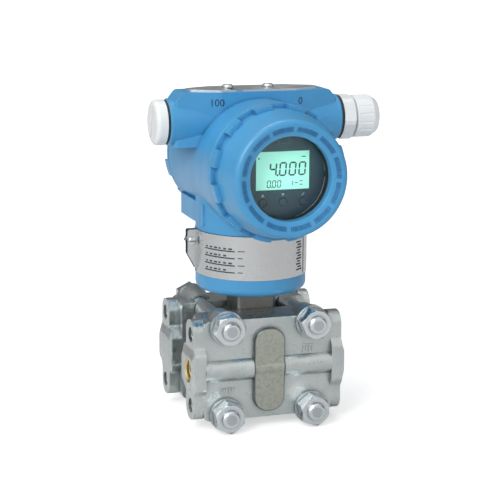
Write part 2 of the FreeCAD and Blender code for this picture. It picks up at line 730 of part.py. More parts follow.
# ================================================================ electronics housing
def block():
    """Block across the top: a long hexagon in plan with rounded upper corners."""
    half = BLOCK_HALF
    flat = half - BLOCK_SLOPE
    shoulder = BLOCK_TOP - BLOCK_DROP
    front = outline(
        [
            (-half, BLOCK_FLOOR), (half, BLOCK_FLOOR), (half, shoulder, 4), (flat, BLOCK_TOP, 3),
            (-flat, BLOCK_TOP, 3), (-half, shoulder, 4),
        ],
        in_xz(-BLOCK_DEPTH),
    ).extrude(Y * 2 * BLOCK_DEPTH)
    plan = plan_prism(half, BLOCK_DEPTH, BLOCK_END_DEPTH, BLOCK_FLOOR, BLOCK_TOP, BLOCK_ROUND)
    return front.common(plan)


def plan_prism(half, depth, end_depth, bottom, top, radius):
    """Upright prism whose plan narrows from the middle towards both ends."""
    corners = [
        (-half, -end_depth, radius), (-BLOCK_FLAT, -depth, radius), (BLOCK_FLAT, -depth, radius),
        (half, -end_depth, radius), (half, end_depth, radius), (BLOCK_FLAT, depth, radius),
        (-BLOCK_FLAT, depth, radius), (-half, end_depth, radius),
    ]
    return outline(corners, in_xy(bottom)).extrude(Z * (top - bottom))


def housing_body():
    """Outside of the head's casting."""
    half = BARREL_HALF
    bevel = EDGE_BEVEL
    barrel = turned(
        [
            (0, -half), (BARREL_R - bevel, -half), (BARREL_R, bevel - half), (BARREL_WAIST_R, PARTITION_REAR),
            (BARREL_WAIST_R, -PARTITION_REAR), (BARREL_R, half - bevel), (BARREL_R - bevel, half), (0, half),
        ],
        HEAD, Y,
    )
    end = CONDUIT_HALF
    edge = end - CONDUIT_BEVEL
    lip = CONDUIT_BOSS_R - CONDUIT_BEVEL
    conduit = turned(
        [
            (0, -end), (lip, -end), (CONDUIT_BOSS_R, -edge), (CONDUIT_BOSS_R, -BLOCK_FLAT),
            (CONDUIT_WAIST_R, 0), (CONDUIT_BOSS_R, BLOCK_FLAT), (CONDUIT_BOSS_R, edge), (lip, end), (0, end),
        ],
        V(0, 0, CONDUIT_Z), X,
    )
    neck = turned(
        [
            (0, HOUSING_FOOT), (NECK_SLEEVE_R, HOUSING_FOOT), (NECK_SLEEVE_R, BAND_TOP + SEAT_GAP),
            (COLLAR_R, BAND_TOP + SEAT_GAP, 0.3), (COLLAR_R, HEAD_Z), (0, HEAD_Z),
        ],
        V(0, 0, 0), Z,
    )
    lug = outline(
        [(-LUG_HALF, LUG_FRONT), (LUG_HALF, LUG_FRONT), (LUG_HALF, LUG_REAR, 2), (-LUG_HALF, LUG_REAR, 2)],
        in_xy(LUG_BOTTOM),
    ).extrude(Z * (LUG_TOP - LUG_BOTTOM))
    return joined([barrel, conduit, neck, lug, block()])


def room(sign, radius, floor):
    """Tools for one compartment: threaded mouth, O-ring recess and the room behind them."""
    face = sign * BARREL_HALF
    axis = Y * sign
    at = HEAD + Y * face
    groove_r = MOUTH_R + FREE + 2 * O_RING_SECTION + FREE
    return [
        rod(MOUTH_R, at, at - axis * THREAD_DEPTH),
        rod(groove_r, at, at - axis * O_RING_GROOVE),
        rod(radius, HEAD + Y * floor, at),
    ]


def housing_tools():
    """Everything cut out of the head's casting."""
    tools = room(-1, FRONT_ROOM_R, PARTITION_FRONT) + room(1, REAR_ROOM_R, PARTITION_REAR)
    for sign in (-1, 1):
        end = V(sign * CONDUIT_HALF, 0, CONDUIT_Z)
        tools.append(rod(CONDUIT_CORE_R, end, end - X * sign * CONDUIT_THREAD))
        tools.append(rod(CONDUIT_PASSAGE_R, end, V(sign * CONDUIT_INNER, 0, CONDUIT_Z)))
        pocket = V(sign * BUTTON_X, 0, BLOCK_TOP)
        tools.append(rod(BUTTON_R + RUNNING, pocket, pocket - Z * BUTTON_POCKET))
    for x in (PLATE_PIVOT_X, PLATE_SLOT_X):
        hole = V(x, 0, BLOCK_TOP)
        tools.append(rod(PLATE_SCREW_R, hole, hole - Z * PLATE_SCREW_LENGTH))
    spigot_top = SWIVEL_PLANE + SPIGOT_LENGTH
    tools.append(rod(SPIGOT_R + RUNNING, V(0, 0, HOUSING_FOOT), V(0, 0, spigot_top + SPIGOT_PLAY)))
    wire = V(0, WIRE_HOLE_Y, spigot_top)
    tools.append(rod(WIRE_HOLE_R, wire, V(0, WIRE_HOLE_Y, HEAD_Z - FRONT_ROOM_R + WIRE_HOLE_R)))
    earth = V(LUG_HALF, EARTH_Y, EARTH_Z)
    tools.append(rod(EARTH_R, earth, earth - X * EARTH_LENGTH))
    return tools


def housing():
    return less(housing_body(), housing_tools())


def earth_screw():
    """Screw and square washer for the outside earth wire, on the right of the head."""
    at = V(LUG_HALF, EARTH_Y, EARTH_Z)
    half = EARTH_WASHER_HALF
    seat = EARTH_WASHER_THICK
    top = EARTH_HEAD_TOP
    washer = box(at + V(0, -half, -half), at + V(seat, half, half))
    head = turned([(0, seat), (EARTH_HEAD_R, seat), (EARTH_HEAD_R, top, EARTH_HEAD_ROUND), (0, top)], at, X)
    shank = rod(EARTH_R, at + X * seat, at - X * (EARTH_LENGTH - BITE))
    reach = EARTH_HEAD_R + CLEAR
    slot = box(at + V(top - SLOT_FLOOR, -reach, -SLOT_HALF), at + V(top + CLEAR, reach, SLOT_HALF))
    return less(joined([washer, head, shank]), [slot])


# ================================================================ screwed covers
def cover_rim(base, axis):
    """Rim with its lugs and the threaded spigot. Distances grow away from the housing."""
    spigot = ring(COVER_SPIGOT_R, COVER_BORE_R, base, axis, -COVER_SPIGOT, 1)
    band = ring(BARREL_R, COVER_BORE_R, base, axis, 0, RIM_BAND)
    shapes = [spigot, band]
    pitch = 360 / LUG_COUNT
    tall = ring(BARREL_R, RIM_ROOT_R - RIM_LUG_FOOT, base, axis, RIM_BAND - BITE, RIM_LUG_END)
    for i in range(LUG_COUNT):
        turn = LUG_TURN + i * pitch
        shapes.append(tall.common(wedge(base, axis, turn, pitch * LUG_SHARE, RIM_LUG_END + CLEAR)))
    return shapes


def wedge(base, axis, angle, spread, length):
    """Sector of the given spread round the axis, used to pick out one lug."""
    reach = BARREL_R * 1.2
    tip = reach * math.tan(math.radians(spread / 2))
    face = outline([(0, 0), (tip, reach), (-tip, reach)], lambda p: base + V(p.x, 0, p.y))
    piece = face.extrude(axis * length)
    piece.rotate(base, Y, angle)
    return piece


def front_cover():
    """Window cover: a tapered bell with a dished face ring round the glass."""
    base = HEAD - Y * COVER_START
    axis = Y * -1
    depth = FRONT_COVER_DEPTH
    inner = depth - WINDOW_SINK
    bell = turned(
        [
            (COVER_BORE_R, 0), (RIM_ROOT_R, 0), (RIM_ROOT_R, RIM_LUG_END),
            (FRONT_FACE_R, depth, FRONT_FACE_ROUND),
            (WINDOW_R, inner, 0.6), (WINDOW_R, GLASS_FRONT), (GLASS_R + FREE, GLASS_FRONT),
            (GLASS_R + FREE, GLASS_BACK - GLASS_RING_LENGTH), (COVER_BORE_R, GLASS_BACK - GLASS_RING_LENGTH),
        ],
        base, axis,
    )
    return joined([bell] + cover_rim(base, axis))


def rear_cover():
    """Plain cover over the terminals."""
    base = HEAD + Y * COVER_START
    depth = REAR_COVER_DEPTH
    bell = turned(
        [
            (COVER_BORE_R, 0), (RIM_ROOT_R, 0), (RIM_ROOT_R, RIM_LUG_END), (REAR_FACE_R, depth, 3),
            (0, depth), (0, depth - REAR_COVER_WALL), (COVER_BORE_R, depth - REAR_COVER_WALL, 2),
        ],
        base, Y,
    )
    return joined([bell] + cover_rim(base, Y))


def glass_gaskets():
    """Thin rings in front of and behind the glass."""
    base = HEAD - Y * COVER_START
    axis = Y * -1
    front = ring(GLASS_R, WINDOW_R, base, axis, GLASS_FRONT - GASKET_THICK, GLASS_FRONT)
    back = ring(GLASS_R, WINDOW_R, base, axis, GLASS_BACK, GLASS_BACK + GASKET_THICK)
    return [front, back]


def window_glass():
    base = HEAD - Y * COVER_START
    start = GLASS_BACK + GASKET_THICK
    end = start + GLASS_THICK
    r = GLASS_EDGE_R
    corners = [(0, start), (GLASS_R, start, r), (GLASS_R, end, r), (0, end)]
    return turned(corners, base, Y * -1)


def glass_ring():
    """Threaded ring behind the glass, with two notches for its key."""
    base = HEAD - Y * COVER_START
    start = GLASS_BACK - GLASS_RING_LENGTH
    shape = ring(GLASS_R + FREE, GLASS_RING_INNER, base, Y * -1, start, GLASS_BACK)
    notches = []
    for sign in (-1, 1):
        x = sign * (GLASS_R + GLASS_RING_INNER) / 2
        low = V(x - NOTCH_HALF_LENGTH, base.y - start - NOTCH_SINK, HEAD_Z - NOTCH_WIDTH / 2)
        notches.append(box(low, low + V(2 * NOTCH_HALF_LENGTH, NOTCH_DEPTH, NOTCH_WIDTH)))
    return less(shape, notches)


def cover_o_ring(sign):
    """O-ring in the recess at the housing's mouth."""
    centre = MOUTH_R + FREE + O_RING_SECTION
    at = HEAD + Y * sign * (BARREL_HALF - O_RING_GROOVE / 2)
    return Part.makeTorus(centre, O_RING_SECTION, at, Y)


# ================================================================ electronics and display
def electronics_module():
    """Potted electronics in the front compartment, standing on the partition."""
    back = PARTITION_FRONT
    foot = MODULE_R - MODULE_FOOT_STEP
    return turned(
        [
            (0, back), (foot, back), (foot, back - MODULE_FOOT), (MODULE_R, back - MODULE_SHOULDER),
            (MODULE_R, MODULE_FRONT, MODULE_ROUND), (0, MODULE_FRONT),
        ],
        HEAD, Y,
    )


def display_bezel():
    """Dark cup over the display board, with a window for the LCD and holes for three keys."""
    inner = BEZEL_R - BEZEL_WALL
    floor = BEZEL_FACE_Y + BEZEL_WALL
    cup = turned(
        [
            (0, BEZEL_FACE_Y), (BEZEL_R, BEZEL_FACE_Y, 1.2), (BEZEL_R, MODULE_FRONT),
            (inner, MODULE_FRONT), (inner, floor), (0, floor),
        ],
        HEAD, Y,
    )
    z = HEAD_Z + LCD_RISE
    start = BEZEL_FACE_Y - CLEAR
    window = rounded(LCD_WIDTH, z - LCD_HEIGHT / 2, z + LCD_HEIGHT / 2, WINDOW_CORNER_R, start)
    tools = [window.extrude(Y * (BEZEL_WALL + 2 * CLEAR))]
    for i in (-1, 0, 1):
        at = V(i * KEY_PITCH, start, HEAD_Z - KEY_DROP)
        tools.append(rod(KEY_R + FREE, at, at + Y * (BEZEL_WALL + 2 * CLEAR)))
    low = HEAD_Z + TAB_RISE
    tab = rounded(TAB_WIDTH, low, low + TAB_HEIGHT, TAB_CORNER_R, BEZEL_FACE_Y - TAB_STANDS)
    return joined([less(cup, tools), tab.extrude(Y * (TAB_STANDS + BITE))])


def lcd_panel():
    """Glass cell seen through the bezel's window, on its backlight."""
    w = LCD_WIDTH / 2 + LCD_BORDER
    h = LCD_HEIGHT / 2 + LCD_BORDER
    z = HEAD_Z + LCD_RISE
    back = BEZEL_FACE_Y + BEZEL_WALL
    cell = box(V(-w, back, z - h), V(w, back + LCD_THICK, z + h))
    w = LCD_WIDTH / 2 - LCD_PLAY
    h = LCD_HEIGHT / 2 - LCD_PLAY
    raised = box(V(-w, BEZEL_FACE_Y + LCD_SINK, z - h), V(w, back + BITE, z + h))
    return joined([cell, raised])


def display_board():
    """Board behind the LCD and the keys, on four pillars that stand on the electronics."""
    front = BEZEL_FACE_Y + BEZEL_WALL + LCD_THICK
    board = rod(BEZEL_R - BEZEL_WALL - FREE, HEAD + Y * front, HEAD + Y * (front + BOARD_THICK))
    posts = []
    for sx, sz in CORNERS:
        at = HEAD + V(sx * POST_AT, front + BOARD_THICK, sz * POST_AT)
        posts.append(rod(POST_R, at, V(at.x, MODULE_FRONT, at.z)))
    return joined([board] + posts)


def display_key(index):
    """Round key that rises through the bezel; its foot stays behind the face."""
    at = V(index * KEY_PITCH, 0, HEAD_Z - KEY_DROP)
    front = BEZEL_FACE_Y - KEY_PROUD
    foot = BEZEL_FACE_Y + BEZEL_WALL + KEY_PLAY
    end = BEZEL_FACE_Y + BEZEL_WALL + LCD_THICK - KEY_TRAVEL - KEY_PLAY
    flange = KEY_R + KEY_FLANGE
    corners = [(0, front), (KEY_R, front, 0.5), (KEY_R, foot), (flange, foot), (flange, end), (0, end)]
    return turned(corners, at, Y)


def terminal_points():
    y = PARTITION_REAR + TERMINAL_DEPTH
    return [V(i * TERMINAL_PITCH, y, HEAD_Z - TERMINAL_DROP) for i in (-1, 0, 1)]


def terminal_block():
    """Moulded block for the field wires, standing on the partition below the conduits."""
    face = PARTITION_REAR + TERMINAL_DEPTH
    disc = rod(TERMINAL_R, HEAD + Y * PARTITION_REAR, HEAD + Y * face)
    above = box(
        V(-TERMINAL_R, PARTITION_REAR - CLEAR, TERMINAL_TOP),
        V(TERMINAL_R, face + CLEAR, HEAD_Z + TERMINAL_R + CLEAR),
    )
    tools = [above]
    for at in terminal_points():
        tools.append(rod(TERMINAL_WELL_R, at, at - Y * TERMINAL_WELL))
        channel = V(at.x - TERMINAL_CHANNEL, at.y - TERMINAL_WELL, at.z)
        tools.append(box(channel, V(at.x + TERMINAL_CHANNEL, face + CLEAR, TERMINAL_TOP + CLEAR)))
    return less(disc, tools)


def terminal_screws():
    shapes = []
    for at in terminal_points():
        base = at - Y * TERMINAL_WELL
        seat = TERMINAL_CLAMP_THICK
        top = seat + TERMINAL_SCREW_HEAD
        r = TERMINAL_SCREW_R
        plate = r + TERMINAL_CLAMP
        head = turned([(0, 0), (plate, 0), (plate, seat), (r, seat), (r, top, seat), (0, top)], base, Y)
        reach = plate + CLEAR
        slot = box(
            base + V(-reach, top - TERMINAL_SLOT, -SLOT_HALF), base + V(reach, top + CLEAR, SLOT_HALF)
        )
        shapes.append(less(head, [slot]))
    return shapes


# ================================================================ top plate and its buttons
def top_plate():
    """Plate over the zero and span buttons. It swings on one screw; a curved slot clears the other."""
    plate = plan_prism(
        PLATE_HALF, BLOCK_DEPTH - PLATE_INSET, PLATE_END_DEPTH, BLOCK_TOP, BLOCK_TOP + PLATE_THICK, 2
    )
    hole_r = PLATE_SCREW_R + PLATE_HOLE_PLAY
    through = PLATE_THICK + 2 * CLEAR
    pivot = V(PLATE_PIVOT_X, 0, BLOCK_TOP - CLEAR)
    hole = rod(PLATE_SCREW_R + RUNNING, pivot, pivot + Z * through)
    seat = V(PLATE_SLOT_X, 0, BLOCK_TOP - CLEAR)
    end = rod(hole_r, seat, seat + Z * through)
    arc = ring(PLATE_SCREW_PITCH + hole_r, PLATE_SCREW_PITCH - hole_r, pivot, Z, 0, through)
    far = PLATE_SCREW_PITCH * 2
    quarter = box(V(pivot.x - far, -far, pivot.z), V(pivot.x, 0, pivot.z + through))
    return less(plate, [hole, end, arc.common(quarter)])


def plate_screws():
    shapes = []
    for x in (PLATE_PIVOT_X, PLATE_SLOT_X):
        base = V(x, 0, BLOCK_TOP)
        tip = PLATE_SCREW_END - PLATE_SCREW_LENGTH
        start = PLATE_THICK + PLATE_SCREW_LIFT
        top = start + PLATE_SCREW_HEAD
        screw = turned(
            [
                (0, tip), (PLATE_SCREW_R, tip), (PLATE_SCREW_R, start), (PLATE_SCREW_HEAD_R, start),
                (PLATE_SCREW_HEAD_R, top, PLATE_SCREW_ROUND), (0, top),
            ],
            base, Z,
        )
        half = CROSS_WIDTH / 2
        floor = top - CROSS_DEPTH
        tools = [
            box(base + V(-CROSS_HALF, -half, floor), base + V(CROSS_HALF, half, top + CLEAR)),
            box(base + V(-half, -CROSS_HALF, floor), base + V(half, CROSS_HALF, top + CLEAR)),
        ]
        shapes.append(less(screw, tools))
    return shapes


def adjust_button(sign):
    """Spring-backed button in the top of the block, covered by the plate."""
    at = V(sign * BUTTON_X, 0, BLOCK_TOP - BUTTON_SINK)
    corners = [(0, -BUTTON_LENGTH), (BUTTON_R, -BUTTON_LENGTH), (BUTTON_R, 0, 0.5), (0, 0)]
    half = BUTTON_SLOT_HALF
    slot = box(at + V(-BUTTON_R, -half, -BUTTON_SLOT_DEPTH), at + V(BUTTON_R, half, CLEAR))
    return less(turned(corners, at, Z), [slot])


# ================================================================ conduit plug and cable gland
def conduit_gasket(sign):
    base = V(sign * CONDUIT_HALF, 0, CONDUIT_Z)
    inner = CONDUIT_CORE_R + FREE
    return ring(CONDUIT_GASKET_R, inner, base, X * sign, 0, CONDUIT_GASKET)


def conduit_plug():
    """Slotted plug screwed into the unused conduit."""
    base = V(-CONDUIT_HALF - CONDUIT_GASKET, 0, CONDUIT_Z)
    stem = CONDUIT_CORE_R - RUNNING
    body = turned(
        [
            (0, -STOPPER_STEM), (stem - STOPPER_BEVEL, -STOPPER_STEM),
            (stem, STOPPER_BEVEL - STOPPER_STEM), (stem, 0),
            (STOPPER_HEAD_R, 0), (STOPPER_HEAD_R, STOPPER_HEAD, STOPPER_ROUND), (0, STOPPER_HEAD),
        ],
        base, X * -1,
    )
    half = STOPPER_SLOT_WIDTH / 2
    reach = STOPPER_SLOT_LENGTH / 2
    floor = STOPPER_SLOT_DEPTH - STOPPER_HEAD
    slot = box(V(-STOPPER_HEAD - CLEAR, -half, -reach), V(floor, half, reach))
    slot.rotate(V(0, 0, 0), X, STOPPER_SLOT_TURN)
    slot.translate(base)
    return less(body, [slot])


def gland_body():
    """Screwed part of the gland: stem, hexagon and hollow neck."""
    base = V(GLAND_SEAT_X, 0, CONDUIT_Z)
    stem_r = CONDUIT_CORE_R - RUNNING
    stem = rod(stem_r, base - X * STOPPER_STEM, base + X * CLEAR)
    flats = hexagon(GLAND_FLATS, GLAND_HEX_TURN, lambda p: base + V(0, p.x, p.y))
    reach = GLAND_FLATS / 2 + GLAND_HEX_TRIM
    r = GLAND_HEX_ROUND
    trim = turned([(0, 0), (reach, 0, r), (reach, GLAND_HEX, r), (0, GLAND_HEX)], base, X)
    hexa = flats.extrude(X * GLAND_HEX).common(trim)
    neck_base = base + X * GLAND_HEX
    neck = rod(GLAND_NECK_R, neck_base - X * CLEAR, neck_base + X * GLAND_NECK)
    seat = V(GLAND_SEAL_BACK, 0, CONDUIT_Z)
    mouth = neck_base + X * (GLAND_NECK + CLEAR)
    return less(joined([stem, hexa, neck]), [
        rod(GLAND_BORE_R, base - X * (STOPPER_STEM + CLEAR), mouth),
        rod(GLAND_SEAL_R + RUNNING, seat, mouth),
    ])


def gland_seal():
    """Rubber sleeve that grips the cable."""
    base = V(0, 0, CONDUIT_Z)
    nose = GLAND_SEAL_FRONT - SEAL_NOSE
    return turned(
        [
            (CABLE_R, GLAND_SEAL_BACK), (GLAND_SEAL_R, GLAND_SEAL_BACK), (GLAND_SEAL_R, nose),
            (GLAND_SEAL_R - SEAL_TAPER, GLAND_SEAL_FRONT), (CABLE_R, GLAND_SEAL_FRONT),
        ],
        base, X,
    )


def gland_nut():
    """Domed cap nut with shallow grip ribs."""
    base = V(GLAND_NUT_X, 0, CONDUIT_Z)
    length = GLAND_NUT_LENGTH
    inner = GLAND_NECK_R + RUNNING
    under = length - GLAND_NUT_FRONT + SEAL_GAP
    shell = turned(
        [
            (inner, 0), (GLAND_NUT_R, 0, 0.5), (GLAND_NUT_R, length - GLAND_NUT_DOME, 2),
            (GLAND_NUT_R - GLAND_NUT_CROWN, length - GLAND_NUT_TIP, 1),
            (GLAND_MOUTH_R, length), (GLAND_MOUTH_R, under), (inner, under),
        ],
        base, X,
    )
    grooves = []
    for i in range(RIB_COUNT):
        angle = 2 * math.pi * (i + 0.5) / RIB_COUNT
        at = base + V(0, math.cos(angle), math.sin(angle)) * (GLAND_NUT_R + RIB_LIFT)
        grooves.append(rod(RIB_R, at + X * RIB_START, at + X * (length - RIB_END)))
    return less(shell, grooves)


# ================================================================ writing the nodes
def build():
    return {
        "front_flange": front_flange(),
        "rear_flange": rear_flange(),
        "flange_bolts": bolts(),
        "flange_nuts": nuts(),
        "flange_washers": washers(),
        "sensor_capsule": capsule(),
        "front_diaphragm": diaphragm(-1),
        "rear_diaphragm": diaphragm(1),
        "front_flange_seal": flange_seal(-1),
        "rear_flange_seal": flange_seal(1),
        "sensor_collar": collar(),
        "sensor_board": sensor_board(),
        "label_band": label_band(),
        "band_screw": band_screw(),
        "housing": housing(),
        "earth_screw": earth_screw(),
        "electronics_module": electronics_module(),
        "display_board": display_board(),
        "display_bezel": display_bezel(),
        "lcd_panel": lcd_panel(),
        "left_key": display_key(-1),
        "middle_key": display_key(0),
        "right_key": display_key(1),
        "terminal_block": terminal_block(),
        "terminal_screws": terminal_screws(),
        "top_plate": top_plate(),
        "plate_screws": plate_screws(),
        "span_button": adjust_button(-1),
        "zero_button": adjust_button(1),
        "front_o_ring": cover_o_ring(-1),
        "front_cover": front_cover(),
        "window_gaskets": glass_gaskets(),
        "window_glass": window_glass(),
        "window_ring": glass_ring(),
        "rear_o_ring": cover_o_ring(1),
        "rear_cover": rear_cover(),
        "plug_gasket": conduit_gasket(-1),
        "conduit_plug": conduit_plug(),
        "gland_gasket": conduit_gasket(1),
        "gland_body": gland_body(),
        "gland_seal": gland_seal(),
        "gland_nut": gland_nut(),
    }


os.makedirs("parts", exist_ok=True)
for name, shape in build().items():
    if isinstance(shape, list):
        shape = Part.makeCompound(shape)
    solids = shape.Solids
    bad = [i for i, solid in enumerate(solids) if not solid.isValid() or solid.Volume <= 0]
    print(f"{name:20s} solids {len(solids)}  volume {shape.Volume / 1000:9.3f} cm3  bad {bad}")
    shape.exportStep(f"parts/{name}.step")
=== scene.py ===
import json
import math

import bmesh
import bpy
from bpy.props import FloatProperty, FloatVectorProperty, IntProperty, PointerProperty, StringProperty
from mathutils import Euler, Matrix, Vector


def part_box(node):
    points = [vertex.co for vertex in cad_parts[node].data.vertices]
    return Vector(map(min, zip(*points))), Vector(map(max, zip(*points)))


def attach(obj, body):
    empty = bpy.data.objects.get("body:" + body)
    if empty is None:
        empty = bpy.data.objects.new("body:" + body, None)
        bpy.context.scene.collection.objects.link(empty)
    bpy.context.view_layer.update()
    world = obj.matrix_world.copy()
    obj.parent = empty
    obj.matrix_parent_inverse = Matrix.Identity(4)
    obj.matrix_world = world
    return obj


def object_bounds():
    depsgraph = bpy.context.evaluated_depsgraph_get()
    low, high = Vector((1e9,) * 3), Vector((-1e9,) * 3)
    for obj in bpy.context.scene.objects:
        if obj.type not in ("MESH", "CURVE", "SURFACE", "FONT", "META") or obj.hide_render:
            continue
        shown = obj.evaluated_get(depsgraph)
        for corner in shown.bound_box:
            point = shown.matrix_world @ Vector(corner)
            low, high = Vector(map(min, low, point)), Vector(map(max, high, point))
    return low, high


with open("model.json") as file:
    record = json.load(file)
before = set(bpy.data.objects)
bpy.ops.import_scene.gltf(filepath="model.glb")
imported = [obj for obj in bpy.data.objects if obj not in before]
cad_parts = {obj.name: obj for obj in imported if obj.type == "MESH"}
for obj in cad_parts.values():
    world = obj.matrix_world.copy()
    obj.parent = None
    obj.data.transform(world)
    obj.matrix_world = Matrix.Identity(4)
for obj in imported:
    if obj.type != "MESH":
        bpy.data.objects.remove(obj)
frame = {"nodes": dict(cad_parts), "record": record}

bl_info = {
    "name": "Differential pressure transmitter",
    "version": (1, 0, 0),
    "blender": (4, 5, 0),
    "location": "3D View > Sidebar > Transmitter",
    "description": "Finishes, threads, marks and studio for a differential pressure transmitter",
    "category": "Object",
}

CAD_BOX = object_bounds()
NODES = frame["nodes"]
MM = 0.001


# ---------------------------------------------------------------- places taken from the model
def low(node):
    return Vector(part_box(node)[0])


def high(node):
    return Vector(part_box(node)[1])


def middle(node):
    return (low(node) + high(node)) / 2


HEAD = Vector((0, 0, middle("front_cover").z))
CONDUIT = Vector((0, 0, middle("conduit_plug").z))
MOUNTS = {mount["name"]: mount for mount in frame["record"]["mounts"]}
PORT_Y = MOUNTS["process_port_front"]["pos_m"][1]
WASHER_R = 9.5 * MM
WASHER_THICK = 2 * MM
FACE_Y = low("flange_washers").y + WASHER_THICK     # outer face of the front flange
BOLT_AT = high("flange_washers").x - WASHER_R       # bolts, across and up from the middle
BOLT_CORE_R = 4.78 * MM
BOLT_CHAMFER = 1 * MM
BOLT_FOOT = 0.3 * MM            # how far the thread starts inside the nut
BOLT_FINE = 0.6                 # pitch on the bolts' ends, as a share of the tapped holes' pitch
BOLT_HOLLOW = (3.6 * MM, 2.6 * MM)                  # dull middle of a bolt's end, outer and inner radius
PORT_BOSS = 1.7 * MM            # how far a port's boss stands off the flange's end
END_X = high("front_flange").x - PORT_BOSS
PORT_THREAD_R = 5.72 * MM
PORT_INSET = 1.8 * MM
PORT_MOUTH_R = 7.1 * MM
PORT_BOTTOM_X = 28 * MM
TAP_Z = 41.3 / 2 * MM           # tapped holes, above and below a port
TAP_THREAD_R = 4.27 * MM
TAP_INSET = 0.8 * MM
PAD_CENTRE = (0, 0, -0.8 * MM)
PAD_HALF = (8.9 * MM, 24.1 * MM)
PAD_CORNER = 8 * MM
PAD_LINE = 0.7 * MM
PAD_FOOT = abs(FACE_Y) + 0.6 * MM                   # between these two the pad's wall rises
PAD_TOP = abs(FACE_Y) + 2.9 * MM
FIT = 0.08 * MM                 # play between a thread and the one it enters
MOUTH_R = 34.5 * MM             # threaded mouths of the head
CONDUIT_R = 9.25 * MM
NECK_R = 10 * MM                # the gland's own thread, under its nut
NECK_PITCH = 1.5 * MM
MOUTH_SPAN = (28 * MM, 39.2 * MM)                   # where each thread runs, from the head's middle
COVER_SPAN = (29.9 * MM, 41.8 * MM)
CONDUIT_SPAN = (33.8 * MM, 50.8 * MM)
PLUG_SPAN = (39 * MM, 64 * MM)
GLAND_SPAN = (39 * MM, 51 * MM)
NECK_SPAN = (59.5 * MM, 70 * MM)
DISH_R = 26.9 * MM              # middle of the dished ring round the window
DISH_DEPTH = 0.55 * MM          # from the cover's foremost edge back to that middle
DISH_SLOPE = math.atan2(2.7, 8.7)
TO_FRONT = Euler((math.radians(90), 0, 0))          # local Z comes to point at the display side
TO_RIGHT = Euler((0, math.radians(90), 0))
TO_LEFT = Euler((0, math.radians(-90), 0))
FROM_Y = (math.radians(90), 0, 0)                   # lays the head's axis along Z for a pattern
FROM_X = (0, math.radians(-90), 0)


# ---------------------------------------------------------------- sizes and colours a user may change
def shade(red, green, blue):
    """Linear colour from the usual 0 to 255 screen values."""
    linear = []
    for value in (red, green, blue):
        value = value / 255
        linear.append(value / 12.92 if value <= 0.04045 else ((value + 0.055) / 1.055) ** 2.4)
    return tuple(linear)


def colour(name, description, default):
    return FloatVectorProperty(name=name, description=description, default=default,
                               subtype="COLOR", size=3, min=0, max=1)


def number(name, description, default, **more):
    return FloatProperty(name=name, description=description, default=default, **more)


def factor(name, description, default):
    return number(name, description, default, min=0, max=1, subtype="FACTOR")


def angle(name, description, default):
    return number(name, description, math.radians(default), subtype="ANGLE")


def length(name, description, default):
    return number(name, description, default * MM, unit="LENGTH", min=0, precision=5)


def count(name, description, default, **more):
    return IntProperty(name=name, description=description, default=default, **more)


class FinishSettings(bpy.types.PropertyGroup):
    """Colours of the finishes, and how worn and grainy they are."""
    paint: colour("Paint", "Enamel of the head and its covers", shade(68, 158, 212))
    # painted highlight: paler enamel along the edges, with a little thin paint
    paint_highlight: colour("Thin paint", "Enamel where it is thin over an edge", shade(130, 206, 240))
    cast: colour("Cast steel", "Flanges", (0.62, 0.665, 0.655))
    pad: colour("Pad", "Machined pad on each flange", (0.46, 0.48, 0.42))
    zinc: colour("Zinc", "Bolts, nuts and small screws", (0.72, 0.77, 0.79))
    capsule: colour("Capsule", "Sensor capsule between the flanges", (0.20, 0.19, 0.17))
    band: colour("Label band", "Strip round the neck", (0.64, 0.655, 0.66))
    plate: colour("Plate", "Top plate and glass ring", (0.70, 0.72, 0.74))
    nylon: colour("Nylon", "Plug and gland", shade(243, 246, 247))
    rubber: colour("Rubber", "Gaskets and O-rings", (0.018, 0.018, 0.02))
    slate: colour("Bezel", "Moulding round the display", shade(22, 48, 62))
    # painted reflection: the lighter, greener tone towards the top of the moulding
    slate_glare: colour("Bezel top", "Upper part of the moulding", shade(40, 82, 92))
    cell: colour("Display", "Lit display", shade(140, 240, 214))
    ink: colour("Ink", "Printed marks", shade(30, 52, 66))
    brass: colour("Brass", "Ports and terminals", (0.70, 0.60, 0.36))
    # also sets the strength of the painted highlight along edges
    wear: factor("Wear", "Strength of the wear on edges", 0.55)
    grain: factor("Grain", "Strength of the fine surface texture", 0.35)


class ThreadSettings(bpy.types.PropertyGroup):
    """Screw threads that show."""
    bolt_pitch: length("Bolt pitch", "Pitch of the flange bolts and tapped holes", 1.5)
    port_pitch: length("Port pitch", "Pitch of the pipe thread in the ports", 1.41)
    tooth: length("Tooth", "How far a thread's crest stands from its core", 0.42)
    steps: count("Steps", "Sides of one turn", 28, min=8, max=64)


class MarkSettings(bpy.types.PropertyGroup):
    """Raised and printed marks."""
    bars: count("Bars", "Places for a bar round the window", 156, min=12)
    group: count("Group", "Places from one group of bars to the next", 13, min=2)
    filled: count("Filled", "Places in a group that hold a bar", 11, min=1)
    bar_height: length("Bar length", "Length of a bar, outwards from the window", 2.5)
    bar_width: length("Bar width", "Width of the widest bar", 0.75)
    relief: length("Relief", "How far raised marks stand out", 0.35)
    ink: length("Ink", "Thickness of a printed mark", 0.05)
    seed: count("Seed", "Seed of the bars' widths", 7)


class DisplaySettings(bpy.types.PropertyGroup):
    """What the display shows."""
    reading: StringProperty(name="Reading", description="Large figures", default="4.000")
    lower: StringProperty(name="Lower row", description="Small figures", default="0.00")
    height: length("Figure height", "Height of the large figures", 7.6)
    small: length("Small height", "Height of the small figures", 4.0)
    slant: number("Slant", "Lean of the figures", 0.08, min=0, max=0.4)


